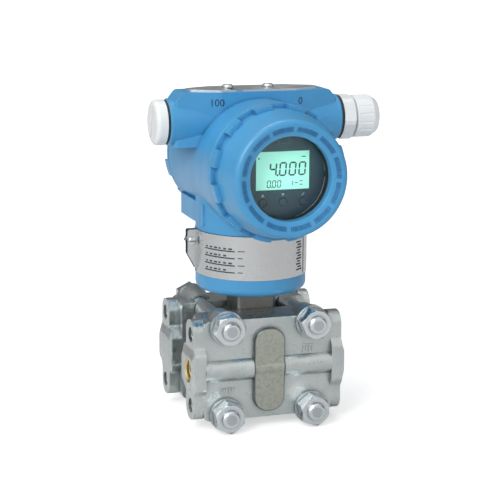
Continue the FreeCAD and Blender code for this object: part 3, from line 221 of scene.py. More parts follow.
class StageSettings(bpy.types.PropertyGroup):
    """Camera, lamps and floor."""
    azimuth: angle("Azimuth", "Camera's turn to the left of the display", 17.83)
    elevation: angle("Elevation", "Camera's height as an angle", 12.03)
    roll: angle("Roll", "Camera's lean", 0.37)
    distance: number("Distance", "From the camera to its aim", 0.9064, unit="LENGTH")
    lens: number("Lens", "Focal length in millimetres", 110.97)
    aim_across: number("Aim across", "Aim's shift across the view", -0.00672, unit="LENGTH")
    aim_up: number("Aim up", "Aim's shift up the view", 0.05964, unit="LENGTH")
    key: number("Key", "Power of the main lamp", 30, unit="POWER")
    fill: number("Fill", "Power of the lamp on the right", 3, unit="POWER")
    top: number("Top", "Power of the lamp above", 10, unit="POWER")
    sky: number("Sky", "Level of the light from all round", 0.36, min=0)
    mirrored: number("Mirrored sky", "Level of the sky in a reflection", 0.68, min=0)


# ---------------------------------------------------------------- objects and nodes
def linked(name, data):
    """New object in the scene."""
    made = bpy.data.objects.new(name, data)
    bpy.context.scene.collection.objects.link(made)
    return made


def evaluated(holder):
    """Plain mesh of an object as it is drawn. The object goes."""
    graph = bpy.context.evaluated_depsgraph_get()
    mesh = bpy.data.meshes.new_from_object(holder.evaluated_get(graph), depsgraph=graph)
    bpy.data.objects.remove(holder)
    return mesh


def put(tree, kind, links=None, **settings):
    """Adds a node, sets it, and links or sets its inputs."""
    node = tree.nodes.new(kind)
    for name, value in settings.items():
        setattr(node, name, value)
    for key, value in (links or {}).items():
        if isinstance(value, bpy.types.NodeSocket):
            tree.links.new(value, node.inputs[key])
        else:
            node.inputs[key].default_value = value
    return node


def calc(tree, operation, *values, clamp=False):
    """One step of arithmetic."""
    links = dict(enumerate(values))
    return put(tree, "ShaderNodeMath", links, operation=operation, use_clamp=clamp).outputs[0]


def move(tree, operation, *values):
    """One step of arithmetic on vectors."""
    node = put(tree, "ShaderNodeVectorMath", dict(enumerate(values)), operation=operation)
    return node.outputs["Value" if operation in ("LENGTH", "DOT_PRODUCT") else "Vector"]


def blend(tree, share, *colours):
    """Colour between two others."""
    links = {0: share}
    for index, value in zip((6, 7), colours):
        links[index] = value if isinstance(value, bpy.types.NodeSocket) else (*value[:3], 1)
    return put(tree, "ShaderNodeMix", links, data_type="RGBA").outputs[2]


def between(tree, value, start, end, low_value=0.0, high_value=1.0):
    """Value carried smoothly from one range to another, and kept inside it."""
    links = {"Value": value, "From Min": start, "From Max": end, "To Min": low_value, "To Max": high_value}
    return put(tree, "ShaderNodeMapRange", links, interpolation_type="SMOOTHSTEP").outputs[0]


def apart(tree, vector):
    """The three parts of a vector."""
    return put(tree, "ShaderNodeSeparateXYZ", {0: vector}).outputs


def reach(tree, first, second):
    """Length of a vector in a plane."""
    return move(tree, "LENGTH", put(tree, "ShaderNodeCombineXYZ", {0: first, 1: second}).outputs[0])


def texture(tree, kind, vector, scale, **more):
    """One of the procedural textures. More inputs are given by name, with _ for a space."""
    links = {"Vector": vector, "Scale": scale}
    links.update({key.replace("_", " "): value for key, value in more.items()})
    return put(tree, "ShaderNodeTex" + kind, links).outputs


def group_tree(name, kind, inputs, outputs):
    """Node group with named sockets. Gives the tree, its inputs and its output node."""
    tree = bpy.data.node_groups.new(name, kind)
    for label, socket, value in inputs:
        made = tree.interface.new_socket(label, in_out="INPUT", socket_type="NodeSocket" + socket)
        if value is not None:
            made.default_value = value
    for label, socket in outputs:
        tree.interface.new_socket(label, in_out="OUTPUT", socket_type="NodeSocket" + socket)
    given = tree.nodes.new("NodeGroupInput").outputs
    return tree, given, tree.nodes.new("NodeGroupOutput")


def effect_tree(name, inputs, *outputs):
    """Node group of a shared effect, whose first input is the coordinates."""
    sockets = [("Vector", "Vector", None)]
    for label, value in inputs.items():
        sockets.append((label, "Vector" if isinstance(value, tuple) else "Float", value))
    return group_tree(name, "ShaderNodeTree", sockets, [(label, "Float") for label in outputs])


# ---------------------------------------------------------------- effects shared by the finishes
def make_grain():
    """Fine texture of a cast, moulded or painted skin, and slow changes of tone."""
    tree, given, out = effect_tree("Grain", {"Scale": 900.0, "Tone scale": 60.0}, "Height", "Tone")
    fine = texture(tree, "Noise", given["Vector"], given["Scale"], Detail=3.0)
    slow = texture(tree, "Noise", given["Vector"], given["Tone scale"], Detail=4.0, Roughness=0.6)
    tree.links.new(fine[0], out.inputs["Height"])
    tree.links.new(between(tree, slow[0], 0.3, 0.7), out.inputs["Tone"])


def make_edge_wear_and_highlight():
    """Mask of sharp edges, broken up by a noise: where wear and a painted highlight go."""
    tree, given, out = effect_tree("Edge wear and highlight", {"Radius": 0.8 * MM, "Amount": 0.5}, "Mask")
    rounded = put(tree, "ShaderNodeBevel", {"Radius": given["Radius"]}, samples=4)
    plain = put(tree, "ShaderNodeNewGeometry")
    facing = move(tree, "DOT_PRODUCT", rounded.outputs[0], plain.outputs["Normal"])
    edge = between(tree, facing, 0.995, 0.80)
    noise = texture(tree, "Noise", given["Vector"], 260.0, Detail=4.0)
    broken = calc(tree, "MULTIPLY", edge, between(tree, noise[0], 0.35, 0.62))
    tree.links.new(calc(tree, "MULTIPLY", broken, given["Amount"], clamp=True), out.inputs["Mask"])


def make_painted_shade():
    """Painted shade: mask of hollows and corners, where less light comes, from ambient occlusion broken up
    by a noise.
    """
    tree, given, out = effect_tree("Painted shade", {"Reach": 4 * MM, "Amount": 0.5}, "Mask")
    closed = put(tree, "ShaderNodeAmbientOcclusion", {"Distance": given["Reach"]}, samples=8)
    shut = between(tree, closed.outputs["AO"], 0.95, 0.35)
    noise = texture(tree, "Noise", given["Vector"], 180.0, Detail=3.0)
    mottled = calc(tree, "MULTIPLY", shut, between(tree, noise[0], 0.2, 0.55, 0.6, 1.0))
    tree.links.new(calc(tree, "MULTIPLY", mottled, given["Amount"], clamp=True), out.inputs["Mask"])


def make_brushed():
    """Fine scratches: a noise drawn out along one direction."""
    tree, given, out = effect_tree("Brushed", {"Stretch": (1, 1, 1), "Scale": 1500.0}, "Height")
    drawn = move(tree, "MULTIPLY", given["Vector"], given["Stretch"])
    tree.links.new(texture(tree, "Noise", drawn, given["Scale"], Detail=3.0)[0], out.inputs["Height"])


def make_turned():
    """Rings left by a lathe round the Z axis."""
    tree, given, out = effect_tree("Turned", {"Feed": 0.3 * MM}, "Height")
    across, up, _ = apart(tree, given["Vector"])
    turns = calc(tree, "DIVIDE", reach(tree, across, up), given["Feed"])
    noise = put(tree, "ShaderNodeTexNoise", {"W": turns, "Scale": 1.0, "Detail": 2.0}, noise_dimensions="1D")
    tree.links.new(noise.outputs[0], out.inputs["Height"])


def make_thread_relief():
    """Right-hand thread on a cylinder round the Z axis: its relief, and a mask of where it is."""
    sizes = {"Radius": 30 * MM, "Play": 0.4 * MM, "Start": 0.0, "End": 10 * MM, "Pitch": 2 * MM}
    tree, given, out = effect_tree("Thread relief", sizes, "Height", "Mask")
    across, up, along = apart(tree, given["Vector"])
    turn = calc(tree, "DIVIDE", calc(tree, "ARCTAN2", up, across), 2 * math.pi)
    climb = calc(tree, "SUBTRACT", calc(tree, "DIVIDE", along, given["Pitch"]), turn)
    tooth = calc(tree, "PINGPONG", climb, 0.5)
    off = calc(tree, "SUBTRACT", reach(tree, across, up), given["Radius"])
    near = calc(tree, "LESS_THAN", calc(tree, "ABSOLUTE", off), given["Play"])
    after = calc(tree, "GREATER_THAN", along, given["Start"])
    before = calc(tree, "LESS_THAN", along, given["End"])
    mask = calc(tree, "MULTIPLY", near, calc(tree, "MULTIPLY", after, before))
    tree.links.new(calc(tree, "MULTIPLY", tooth, mask), out.inputs["Height"])
    tree.links.new(mask, out.inputs["Mask"])


def make_panel():
    """Upright rectangle with round corners: its inside, and the line along its edge."""
    sizes = {"Half width": 9 * MM, "Half height": 24 * MM, "Corner": 8 * MM, "Line": 0.4 * MM}
    tree, given, out = effect_tree("Round panel", sizes, "Inside", "Line")
    across, _, up = apart(tree, given["Vector"])
    past = []
    for part, half in ((across, "Half width"), (up, "Half height")):
        straight = calc(tree, "SUBTRACT", given[half], given["Corner"])
        over = calc(tree, "SUBTRACT", calc(tree, "ABSOLUTE", part), straight)
        past.append(calc(tree, "MAXIMUM", over, 0.0))
    away = calc(tree, "SUBTRACT", reach(tree, *past), given["Corner"])
    tree.links.new(calc(tree, "LESS_THAN", away, 0.0), out.inputs["Inside"])
    near = calc(tree, "DIVIDE", calc(tree, "ABSOLUTE", away), given["Line"])
    tree.links.new(between(tree, near, 1.0, 0.3), out.inputs["Line"])


def make_effects():
    for make in (make_grain, make_edge_wear_and_highlight, make_painted_shade, make_brushed, make_turned,
                 make_thread_relief, make_panel):
        make()


# ---------------------------------------------------------------- one finish
class Finish:
    """A material with its shader, to which colour, relief, wear, and painted light and shade are added."""

    def __init__(self, name, tint, metallic=0.0, roughness=0.5):
        self.material = bpy.data.materials.new(name)
        self.material.use_nodes = True
        self.tree = self.material.node_tree
        self.tree.nodes.clear()
        values = {"Base Color": (*tint[:3], 1), "Metallic": metallic, "Roughness": roughness}
        self.shader = put(self.tree, "ShaderNodeBsdfPrincipled", values)
        self.output = put(self.tree, "ShaderNodeOutputMaterial", {"Surface": self.shader.outputs[0]})
        self.vector = put(self.tree, "ShaderNodeTexCoord").outputs["Object"]
        self.tint = tuple(tint[:3])
        self.metal = metallic
        self.rough = roughness
        self.normal = None

    def calc(self, operation, *values):
        return calc(self.tree, operation, *values)

    def between(self, value, *ends):
        return between(self.tree, value, *ends)

    def texture(self, kind, scale, vector=None, **more):
        return texture(self.tree, kind, vector or self.vector, scale, **more)

    def effect(self, name, vector=None, **values):
        """Outputs of a shared effect, on the object's coordinates unless others are given."""
        links = {"Vector": vector or self.vector}
        links.update({key.replace("_", " "): value for key, value in values.items()})
        return put(self.tree, "ShaderNodeGroup", links, node_tree=bpy.data.node_groups[name]).outputs

    def centred(self, centre, turn=(0, 0, 0)):
        """Coordinates from a point, turned."""
        shifted = move(self.tree, "SUBTRACT", self.vector, tuple(centre))
        node = put(self.tree, "ShaderNodeVectorRotate", {"Vector": shifted, "Rotation": turn},
                   rotation_type="EULER_XYZ")
        return node.outputs[0]

    def relief(self, height, depth, strength=1.0):
        """Adds a relief of the given depth on top of those before it."""
        links = {"Height": height, "Distance": depth, "Strength": strength}
        if self.normal is not None:
            links["Normal"] = self.normal
        self.normal = put(self.tree, "ShaderNodeBump", links).outputs[0]

    def over(self, mask, tint=None, metal=None, rough=None):
        """Changes the colour, metal or roughness where the mask is set."""
        if tint is not None:
            self.tint = blend(self.tree, mask, self.tint, tint)
        if metal is not None:
            self.metal = self.mixed(mask, self.metal, metal)
        if rough is not None:
            self.rough = self.mixed(mask, self.rough, rough)

    def mixed(self, mask, first, second):
        return put(self.tree, "ShaderNodeMix", {0: mask, 2: first, 3: second}).outputs[0]

    def skin(self, scale, depth, tone, tone_scale=60.0, rough_change=0.08):
        """Grain all over, with slow changes of tone and gloss."""
        grain = self.effect("Grain", Scale=scale, Tone_scale=tone_scale)
        self.relief(grain["Height"], depth)
        self.over(self.calc("MULTIPLY", grain["Tone"], tone), (1, 1, 1) if self.metal else (0, 0, 0))
        half = rough_change / 2
        self.rough = self.between(grain["Tone"], 0.0, 1.0, self.rough - half, self.rough + half)

    def edges(self, tint, amount, radius=0.0006, metal=None, rough=None):
        """Lighter edges: wear, and a painted highlight along the edges."""
        self.over(self.effect("Edge wear and highlight", Radius=radius, Amount=amount)["Mask"], tint, metal, rough)

    def hollows(self, tint, amount, deep=0.004, rough=None):
        """Painted shade in hollows and corners: darker, and duller there."""
        self.over(self.effect("Painted shade", Reach=deep, Amount=amount)["Mask"], tint, None, rough)

    def threads(self, places, depth, bare=False):
        """Screw threads, each on its own cylinder, and bare steel there if asked."""
        for centre, turn, radius, start, end, pitch in places:
            cut = self.effect("Thread relief", self.centred(centre, turn), Radius=radius, Start=start,
                              End=end, Pitch=pitch)
            if bare:
                self.over(cut["Mask"], STEEL, 1.0, 0.32)
            self.relief(cut["Height"], depth)

    def scratches(self, stretch, scale, depth):
        """Fine scratches drawn out by the given stretch."""
        self.relief(self.effect("Brushed", Stretch=stretch, Scale=scale)["Height"], depth)

    def done(self):
        """Links what varies, and gives the material."""
        for name, value in (("Base Color", self.tint), ("Metallic", self.metal), ("Roughness", self.rough),
                            ("Normal", self.normal)):
            if isinstance(value, bpy.types.NodeSocket):
                self.tree.links.new(value, self.shader.inputs[name])
        return self.material


# ---------------------------------------------------------------- the finishes
STEEL = (0.62, 0.63, 0.63)


def look():
    """The colours and levels that the user may have changed."""
    return bpy.context.scene.transmitter_finish


def painted(name, threads=()):
    """Enamel over a casting, bare on its screw threads."""
    made = Finish(name, look().paint, 0.0, 0.42)
    made.shader.inputs["Coat Weight"].default_value = 0.45
    made.shader.inputs["Coat Roughness"].default_value = 0.30
    made.skin(700.0, 0.00006 * look().grain, 0.08, 45.0)
    # painted shade: darker blue in the enamel's hollows and corners
    made.hollows(shade(30, 96, 148), 0.6, 0.003)
    # painted highlight with a little wear: paler blue along the edges
    made.edges(tuple(look().paint_highlight), look().wear)
    made.threads(threads, 0.0012, bare=True)
    return made.done()


def cast(name, side):
    """Satin cast steel with a machined pad ringed by a line of painted shade, painted shade in its hollows,
    and brass in the open port. side is -1 at the front.
    """
    made = Finish(name, look().cast, 1.0, 0.33)
    made.skin(900.0, 0.00012 * look().grain, 0.12, 90.0, 0.16)
    made.relief(made.texture("Voronoi", 620.0)["Distance"], 0.0001)
    patches = made.effect("Grain", Scale=60.0, Tone_scale=38.0)
    made.over(made.calc("MULTIPLY", patches["Tone"], 0.45), (0.40, 0.45, 0.45))
    # painted shade: near black in the steel's hollows and corners
    made.hollows((0.10, 0.13, 0.14), 0.75, 0.006, 0.5)
    # lighter edges: wear and painted highlight
    made.edges((0.86, 0.89, 0.90), look().wear, 0.0008, rough=0.22)
    out = made.calc("MULTIPLY", apart(made.tree, made.vector)[1], float(side))
    panel = made.effect("Round panel", made.centred(PAD_CENTRE), Half_width=PAD_HALF[0],
                        Half_height=PAD_HALF[1], Corner=PAD_CORNER, Line=PAD_LINE)
    proud = made.calc("GREATER_THAN", out, PAD_FOOT)
    on_pad = made.calc("MULTIPLY", panel["Inside"], made.calc("GREATER_THAN", out, PAD_TOP))
    made.over(on_pad, tuple(look().pad), rough=0.5)
    specks = made.between(made.texture("Noise", 520.0, Detail=4.0)[0], 0.40, 0.75, 0.0, 0.30)
    made.over(made.calc("MULTIPLY", on_pad, specks), (0.14, 0.15, 0.14))
    # painted shade: a dark line round the pad, on its wall and edge
    rim = made.calc("MULTIPLY", panel["Line"], proud)
    made.over(made.calc("MULTIPLY", rim, 0.75), (0.07, 0.075, 0.075), rough=0.5)
    across, up, along = apart(made.tree, made.centred((0, side * abs(PORT_Y), 0), FROM_X))
    inside = made.calc("LESS_THAN", reach(made.tree, across, up), PORT_MOUTH_R)
    deep = made.calc("GREATER_THAN", made.calc("MULTIPLY", along, float(side)), PORT_BOTTOM_X)
    made.over(made.calc("MULTIPLY", inside, deep), tuple(look().brass), rough=0.26)
    return made.done()


def plated():
    """Bright zinc plate with faint tool marks."""
    made = Finish("zinc_steel", look().zinc, 1.0, 0.27)
    made.skin(600.0, 0.00003 * look().grain, 0.08, 120.0, 0.12)
    made.scratches((0.12, 1, 1), 2600.0, 0.00003)
    # painted shade: dark in the zinc's hollows and corners
    made.hollows((0.08, 0.10, 0.11), 0.8, 0.003, 0.5)
    # lighter edges: wear and painted highlight
    made.edges((0.95, 0.97, 1.0), look().wear * 0.7, 0.0004, rough=0.18)
    x, y, z = apart(made.tree, made.vector)
    off = [made.calc("SUBTRACT", made.calc("ABSOLUTE", part), BOLT_AT) for part in (x, z)]
    centre = made.between(reach(made.tree, *off), *BOLT_HOLLOW, 0.0, 0.55)
    ends = made.calc("LESS_THAN", y, low("flange_bolts").y + BOLT_CHAMFER)
    made.over(made.calc("MULTIPLY", centre, ends), (0.34, 0.38, 0.40), rough=0.42)
    return made.done()


def lathe(name, tint, centre, turn, roughness, feed):
    """Turned metal with rings round its axis."""
    made = Finish(name, tint, 1.0, roughness)
    made.skin(500.0, 0.00003 * look().grain, 0.08, 90.0, 0.12)
    made.relief(made.effect("Turned", made.centred(centre, turn), Feed=feed)["Height"], 0.00006)
    return made.done()


def strip_steel():
    """Thin bright strip, brushed along its length."""
    made = Finish("label_steel", look().band, 1.0, 0.23)
    made.scratches((0.05, 0.05, 1), 3200.0, 0.00002)
    grain = made.effect("Grain", Scale=300.0, Tone_scale=70.0)
    made.rough = made.between(grain["Tone"], 0.0, 1.0, 0.19, 0.28)
    # lighter edges: wear and painted highlight
    made.edges((0.95, 0.95, 0.95), look().wear * 0.5, 0.0003)
    return made.done()


def satin_plate():
    """Pale satin sheet."""
    made = Finish("plate_metal", look().plate, 0.85, 0.34)
    made.skin(900.0, 0.00002 * look().grain, 0.06, 80.0, 0.1)
    made.scratches((0.06, 1, 1), 3000.0, 0.00002)
    # lighter edges: wear and painted highlight
    made.edges((0.98, 0.98, 0.98), look().wear * 0.5, 0.0003)
    return made.done()


def moulded(name, tint, roughness, scale=1200.0, depth=0.00003, threads=(), amount=0.3):
    """Moulded plastic, with a fine grain and slightly polished edges, lighter there with a painted
    highlight.
    """
    made = Finish(name, tint, 0.0, roughness)
    made.skin(scale, depth * look().grain * 2, 0.05, 60.0, 0.08)
    # lighter edges: polish and painted highlight
    made.edges(tuple(min(1.0, c * 1.25 + 0.02) for c in tint), look().wear * amount, 0.0004)
    made.threads(threads, 0.0010)
    return made.done()


def bezel():
    """Dark slate moulding, with a painted reflection that makes it a little greener and lighter towards the
    top.
    """
    made = Finish("bezel_plastic", look().slate, 0.0, 0.42)
    across, _, up = apart(made.tree, made.centred(HEAD))
    # painted reflection: lighter and greener upwards and to the left
    glare_lean = made.calc("SUBTRACT", up, made.calc("MULTIPLY", across, 0.6))
    made.over(made.between(glare_lean, -26 * MM, 30 * MM), tuple(look().slate_glare))
    made.skin(1500.0, 0.00003 * look().grain, 0.06, 80.0, 0.08)
    # lighter edges: wear and painted highlight
    made.edges(shade(120, 160, 176), look().wear * 0.6, 0.0004)
    return made.done()


def display_cell():
    """Lit display: mint, paler along its rim, with the cell's faint grid."""
    made = Finish("lcd_cell", look().cell, 0.0, 0.22)
    size = (high("lcd_panel") - low("lcd_panel")) / 2 - Vector((1.4, 0, 1.4)) * MM
    panel = made.effect("Round panel", made.centred(middle("lcd_panel")), Half_width=size.x,
                        Half_height=size.z, Corner=0.8 * MM, Line=2.2 * MM)
    across, _, up = apart(made.tree, made.vector)
    made.over(made.between(across, -4 * MM, 16 * MM, 0.0, 0.45), shade(120, 232, 196))
    made.over(made.calc("MULTIPLY", panel["Line"], 0.5), shade(196, 250, 236))
    lines = []
    for part in (across, up):
        wave = made.calc("PINGPONG", made.calc("DIVIDE", part, 0.6 * MM), 0.5)
        lines.append(made.calc("LESS_THAN", wave, 0.06))
    made.over(made.calc("MULTIPLY", made.calc("MAXIMUM", *lines), 0.10), (0.05, 0.25, 0.17))
    made.skin(400.0, 0.00001, 0.03, 40.0, 0.05)
    made.tree.links.new(made.tint, made.shader.inputs["Emission Color"])
    made.shader.inputs["Emission Strength"].default_value = 0.22
    return made.done()


def board():
    """Green solder mask over tracks, with tinned pads."""
    made = Finish("circuit_board", (0.02, 0.16, 0.07), 0.0, 0.35)
    laid = put(made.tree, "ShaderNodeMapping", {"Vector": made.vector, "Rotation": (0.4, 0.3, 0.785)})
    black, white = (0, 0, 0, 1), (1, 1, 1, 1)
    tracks = made.texture("Brick", 220.0, laid.outputs[0], Mortar_Size=0.03, Color1=black, Color2=black,
                          Mortar=white)[0]
    made.over(made.calc("MULTIPLY", tracks, 0.5), (0.06, 0.34, 0.15))
    dots = made.texture("Voronoi", 260.0)["Distance"]
    made.over(made.calc("LESS_THAN", dots, 0.16), (0.75, 0.74, 0.70), 0.9, 0.3)
    made.relief(tracks, 0.00004)
    return made.done()


def glass():
    """Clear toughened glass that lets the light through to the display."""
    made = Finish("window_glass", (0.93, 0.98, 0.97), 0.0, 0.02)
    made.shader.inputs["Transmission Weight"].default_value = 1.0
    made.shader.inputs["IOR"].default_value = 1.22
    smears = made.effect("Grain", Scale=150.0, Tone_scale=55.0)
    made.rough = made.between(smears["Tone"], 0.2, 1.0, 0.012, 0.05)
    clear = put(made.tree, "ShaderNodeBsdfTransparent", {"Color": (0.94, 0.98, 0.97, 1)})
    shadow = put(made.tree, "ShaderNodeLightPath").outputs["Is Shadow Ray"]
    mixed = put(made.tree, "ShaderNodeMixShader", {0: shadow, 1: made.shader.outputs[0],
                                                   2: clear.outputs[0]})
    made.tree.links.new(mixed.outputs[0], made.output.inputs["Surface"])
    return made.done()


def ink(name, tint, roughness=0.5):
    """Printed or raised mark: ink with a slightly uneven edge to its tone."""
    made = Finish(name, tint, 0.0, roughness)
    made.skin(1800.0, 0.00001, 0.10, 400.0, 0.06)
    return made.done()


def screwed(centre, turn, radius, span, sign, pitch=2 * MM):
    """A thread's cylinder, over a span of its axis on the side that the sign gives."""
    start, end = sorted(sign * edge for edge in span)
    return centre, turn, radius, start, end, pitch


def make_finishes():
    """Every finish of the object, by the node that wears it or by its slot."""
    mouths = [screwed(HEAD, FROM_Y, MOUTH_R, MOUTH_SPAN, sign) for sign in (-1, 1)]
    mouths += [screwed(CONDUIT, FROM_X, CONDUIT_R, CONDUIT_SPAN, sign) for sign in (-1, 1)]
    rims = {sign: [screwed(HEAD, FROM_Y, MOUTH_R - FIT, COVER_SPAN, sign)] for sign in (-1, 1)}
    plug = [screwed(CONDUIT, FROM_X, CONDUIT_R - FIT, PLUG_SPAN, -1)]
    gland = [screwed(CONDUIT, FROM_X, CONDUIT_R - FIT, GLAND_SPAN, 1),
             screwed(CONDUIT, FROM_X, NECK_R, NECK_SPAN, 1, NECK_PITCH)]
    return {
        "housing": painted("blue_paint_housing", mouths),
        "front_cover": painted("blue_paint_front_cover", rims[-1]),
        "rear_cover": painted("blue_paint_rear_cover", rims[1]),
        "blue_paint": painted("blue_paint"),
        "front_flange": cast("cast_steel_front", -1),
        "rear_flange": cast("cast_steel_rear", 1),
        "zinc_steel": plated(),
        "capsule_steel": lathe("capsule_steel", look().capsule, (0, 0, 0), FROM_Y, 0.48, 0.0004),
        "diaphragm_steel": lathe("diaphragm_steel", (0.72, 0.73, 0.74), (0, 0, 0), FROM_Y, 0.22, 0.0006),
        "label_steel": strip_steel(),
        "plate_metal": satin_plate(),
        "conduit_plug": moulded("white_plastic_plug", look().nylon, 0.36, threads=plug),
        "gland_body": moulded("white_plastic_gland", look().nylon, 0.36, threads=gland),
        "white_plastic": moulded("white_plastic", look().nylon, 0.36),
        "black_rubber": moulded("black_rubber", look().rubber, 0.62, 900.0),
        # painted shade: the grey fibre is made near black to match the dark inside of the window
        "grey_fibre": moulded("grey_fibre", (0.06, 0.065, 0.07), 0.75, 2200.0, 0.0001),
        "window_glass": glass(),
        "bezel_plastic": bezel(),
        "lcd_cell": display_cell(),
        "circuit_board": board(),
        "potting": moulded("potting", (0.035, 0.036, 0.04), 0.4, 300.0),
        "terminal_plastic": moulded("terminal_plastic", (0.09, 0.10, 0.11), 0.5),
        "brass": lathe("brass", look().brass, (0, 0, 0), FROM_Y, 0.28, 0.0005),
    }


# ---------------------------------------------------------------- making pieces
def piece(name, mesh, material, body):
    """Puts a finished mesh in the scene, riding on its body."""
    mesh.name = name
    if not mesh.materials:
        mesh.materials.append(material)
    made = linked(name, mesh)
    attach(made, body)
    return made


def outward(mesh):
    """Turns the faces of closed shells outwards."""
    shell = bmesh.new()
    shell.from_mesh(mesh)
    bmesh.ops.recalc_face_normals(shell, faces=shell.faces)
    shell.to_mesh(mesh)
    shell.free()
    return mesh


class Marks:
    """Gathers thin bars and plates. place carries (across, up, out) in millimetres into the model."""

    def __init__(self, place, thickness):
        self.place = place
        self.thick = thickness / MM
        self.points = []
        self.faces = []

    def loft(self, rings):
        """Closed skin through rings of places that have the same count."""
        first = len(self.points)
        count = len(rings[0])
        for ring in rings:
            self.points += [self.place(*spot) for spot in ring]
        last = len(self.points) - count
        for here in range(first, last, count):
            for k in range(count):
                after = (k + 1) % count
                self.faces.append((here + k, here + after, here + count + after, here + count + k))
        self.faces.append(tuple(range(first + count - 1, first - 1, -1)))
        self.faces.append(tuple(range(last, last + count)))

    def bar(self, left, right, bottom, top, steps=1):
        """Bar, split into steps so that it can follow a curve."""
        section = [(up, out * self.thick) for up, out in ((bottom, -1), (bottom, 1), (top, 1), (top, -1))]
        cuts = [left + (right - left) * i / steps for i in range(steps + 1)]
        self.loft([[(across, *corner) for corner in section] for across in cuts])

    def plate(self, outline):
        """Flat plate inside a polygon."""
        self.loft([[(*corner, out) for corner in outline] for out in (-self.thick, self.thick)])

    def stand(self, name, material, body):
        """Puts the marks in the scene as one piece."""
        made = bpy.data.meshes.new(name)
        made.from_pydata(self.points, [], self.faces)
        return piece(name, outward(made), material, body)


def wall(origin, turn=0.0):
    """Place on a wall that faces the display side, or another side by the turn round the vertical."""
    spin = Matrix.Rotation(turn, 3, "Z")

    def place(across, up, out):
        return Vector(origin) + spin @ Vector((across, -out, up)) * MM
    return place


def lettering(text, size, thickness, matrix):
    """Mesh of some figures, standing in the XY plane before the matrix places them."""
    words = bpy.data.curves.new("figures", "FONT")
    words.body = text
    words.size = size
    words.extrude = thickness
    words.align_x = "CENTER"
    words.align_y = "CENTER"
    words.resolution_u = 4
    mesh = evaluated(linked("figures", words))
    bpy.data.curves.remove(words)
    mesh.transform(matrix)
    return mesh


def merged(name, meshes):
    """One mesh made of several, with its loose doubles joined."""
    whole = bmesh.new()
    for mesh in meshes:
        whole.from_mesh(mesh)
        bpy.data.meshes.remove(mesh)
    bmesh.ops.remove_doubles(whole, verts=whole.verts, dist=1e-7)
    bmesh.ops.recalc_face_normals(whole, faces=whole.faces)
    made = bpy.data.meshes.new(name)
    whole.to_mesh(made)
    whole.free()
    return made


def grown(tree, source, values):
    """Plain mesh of what a geometry tree makes from a mesh."""
    holder = linked("source", source)
    build = holder.modifiers.new("Build", "NODES")
    build.node_group = tree
    for item in tree.interface.items_tree:
        if item.item_type == "SOCKET" and item.in_out == "INPUT" and item.name in values:
            build[item.identifier] = values[item.name]
    return evaluated(holder)


# ---------------------------------------------------------------- geometry trees
def shape(tree, kind, links=None, **settings):
    """Output of a geometry node."""
    return put(tree, "GeometryNode" + kind, links, **settings).outputs[0]


def ended(tree, geometry, finish, out):
    """Ends a geometry tree with real geometry that wears the finish."""
    real = shape(tree, "RealizeInstances", {0: geometry})
    tree.links.new(shape(tree, "SetMaterial", {"Geometry": real, "Material": finish}), out.inputs[0])
    return tree


def thread_tree():
    """Helical thread at each point, pointing where the point's turn says."""
    found = bpy.data.node_groups.get("Screw thread")
    if found:
        return found
    tree, given, out = group_tree(
        "Screw thread", "GeometryNodeTree",
        [("Points", "Geometry", None), ("Radius", "Float", 0.005), ("Pitch", "Float", 0.0015),
         ("Length", "Float", 0.01), ("Tooth", "Float", 0.0004), ("Steps", "Int", 28),
         ("Finish", "Material", None)],
        [("Geometry", "Geometry")])
    turns = calc(tree, "DIVIDE", given["Length"], given["Pitch"])
    path = shape(tree, "CurveSpiral", {
        "Resolution": given["Steps"], "Rotations": turns, "Start Radius": given["Radius"],
        "End Radius": given["Radius"], "Height": given["Length"]})
    level = shape(tree, "SetCurveNormal", {"Curve": path}, mode="Z_UP")
    section = shape(tree, "CurvePrimitiveCircle", {"Resolution": 4, "Radius": given["Tooth"]})
    coil = shape(tree, "CurveToMesh", {"Curve": level, "Profile Curve": section, "Fill Caps": True})
    turn = shape(tree, "InputNamedAttribute", {"Name": "turn"}, data_type="FLOAT_VECTOR")
    facing = put(tree, "FunctionNodeEulerToRotation", {0: turn}).outputs[0]
    copies = shape(tree, "InstanceOnPoints", {
        "Points": given["Points"], "Instance": coil, "Rotation": facing})
    return ended(tree, copies, given["Finish"], out)


def bar_ring_tree():
    """Groups of short raised bars round a dished ring, of uneven width."""
    tree, given, out = group_tree(
        "Ring of bars", "GeometryNodeTree",
        [("Source", "Geometry", None), ("Places", "Int", 120), ("Group", "Int", 10), ("Filled", "Int", 7),
         ("Radius", "Float", 0.027), ("Tilt", "Float", 0.3), ("Bar", "Vector", (0.002, 0.0008, 0.0006)),
         ("Place", "Vector", (0, 0, 0)), ("Seed", "Int", 7), ("Finish", "Material", None)],
        [("Geometry", "Geometry")])
    circle = shape(tree, "MeshCircle", {"Vertices": given["Places"], "Radius": given["Radius"]})
    index = shape(tree, "InputIndex")
    place = calc(tree, "MODULO", index, given["Group"])
    kept = put(tree, "FunctionNodeCompare", {0: place, 1: given["Filled"]}, operation="LESS_THAN")
    angle = calc(tree, "DIVIDE", calc(tree, "MULTIPLY", index, 2 * math.pi), given["Places"])
    turn = put(tree, "ShaderNodeCombineXYZ", {1: given["Tilt"], 2: angle})
    facing = put(tree, "FunctionNodeEulerToRotation", {0: turn.outputs[0]})
    bar = shape(tree, "MeshCube", {"Size": given["Bar"]})
    width = put(tree, "FunctionNodeRandomValue", {2: 0.35, 3: 1.0, "ID": index, "Seed": given["Seed"]})
    size = put(tree, "ShaderNodeCombineXYZ", {0: 1.0, 1: width.outputs[1], 2: 1.0})
    copies = shape(tree, "InstanceOnPoints", {
        "Points": circle, "Selection": kept.outputs[0], "Instance": bar, "Rotation": facing.outputs[0],
        "Scale": size.outputs[0]})
    stood = shape(tree, "Transform", {
        "Geometry": copies, "Translation": given["Place"], "Rotation": tuple(TO_FRONT)})
    return ended(tree, stood, given["Finish"], out)


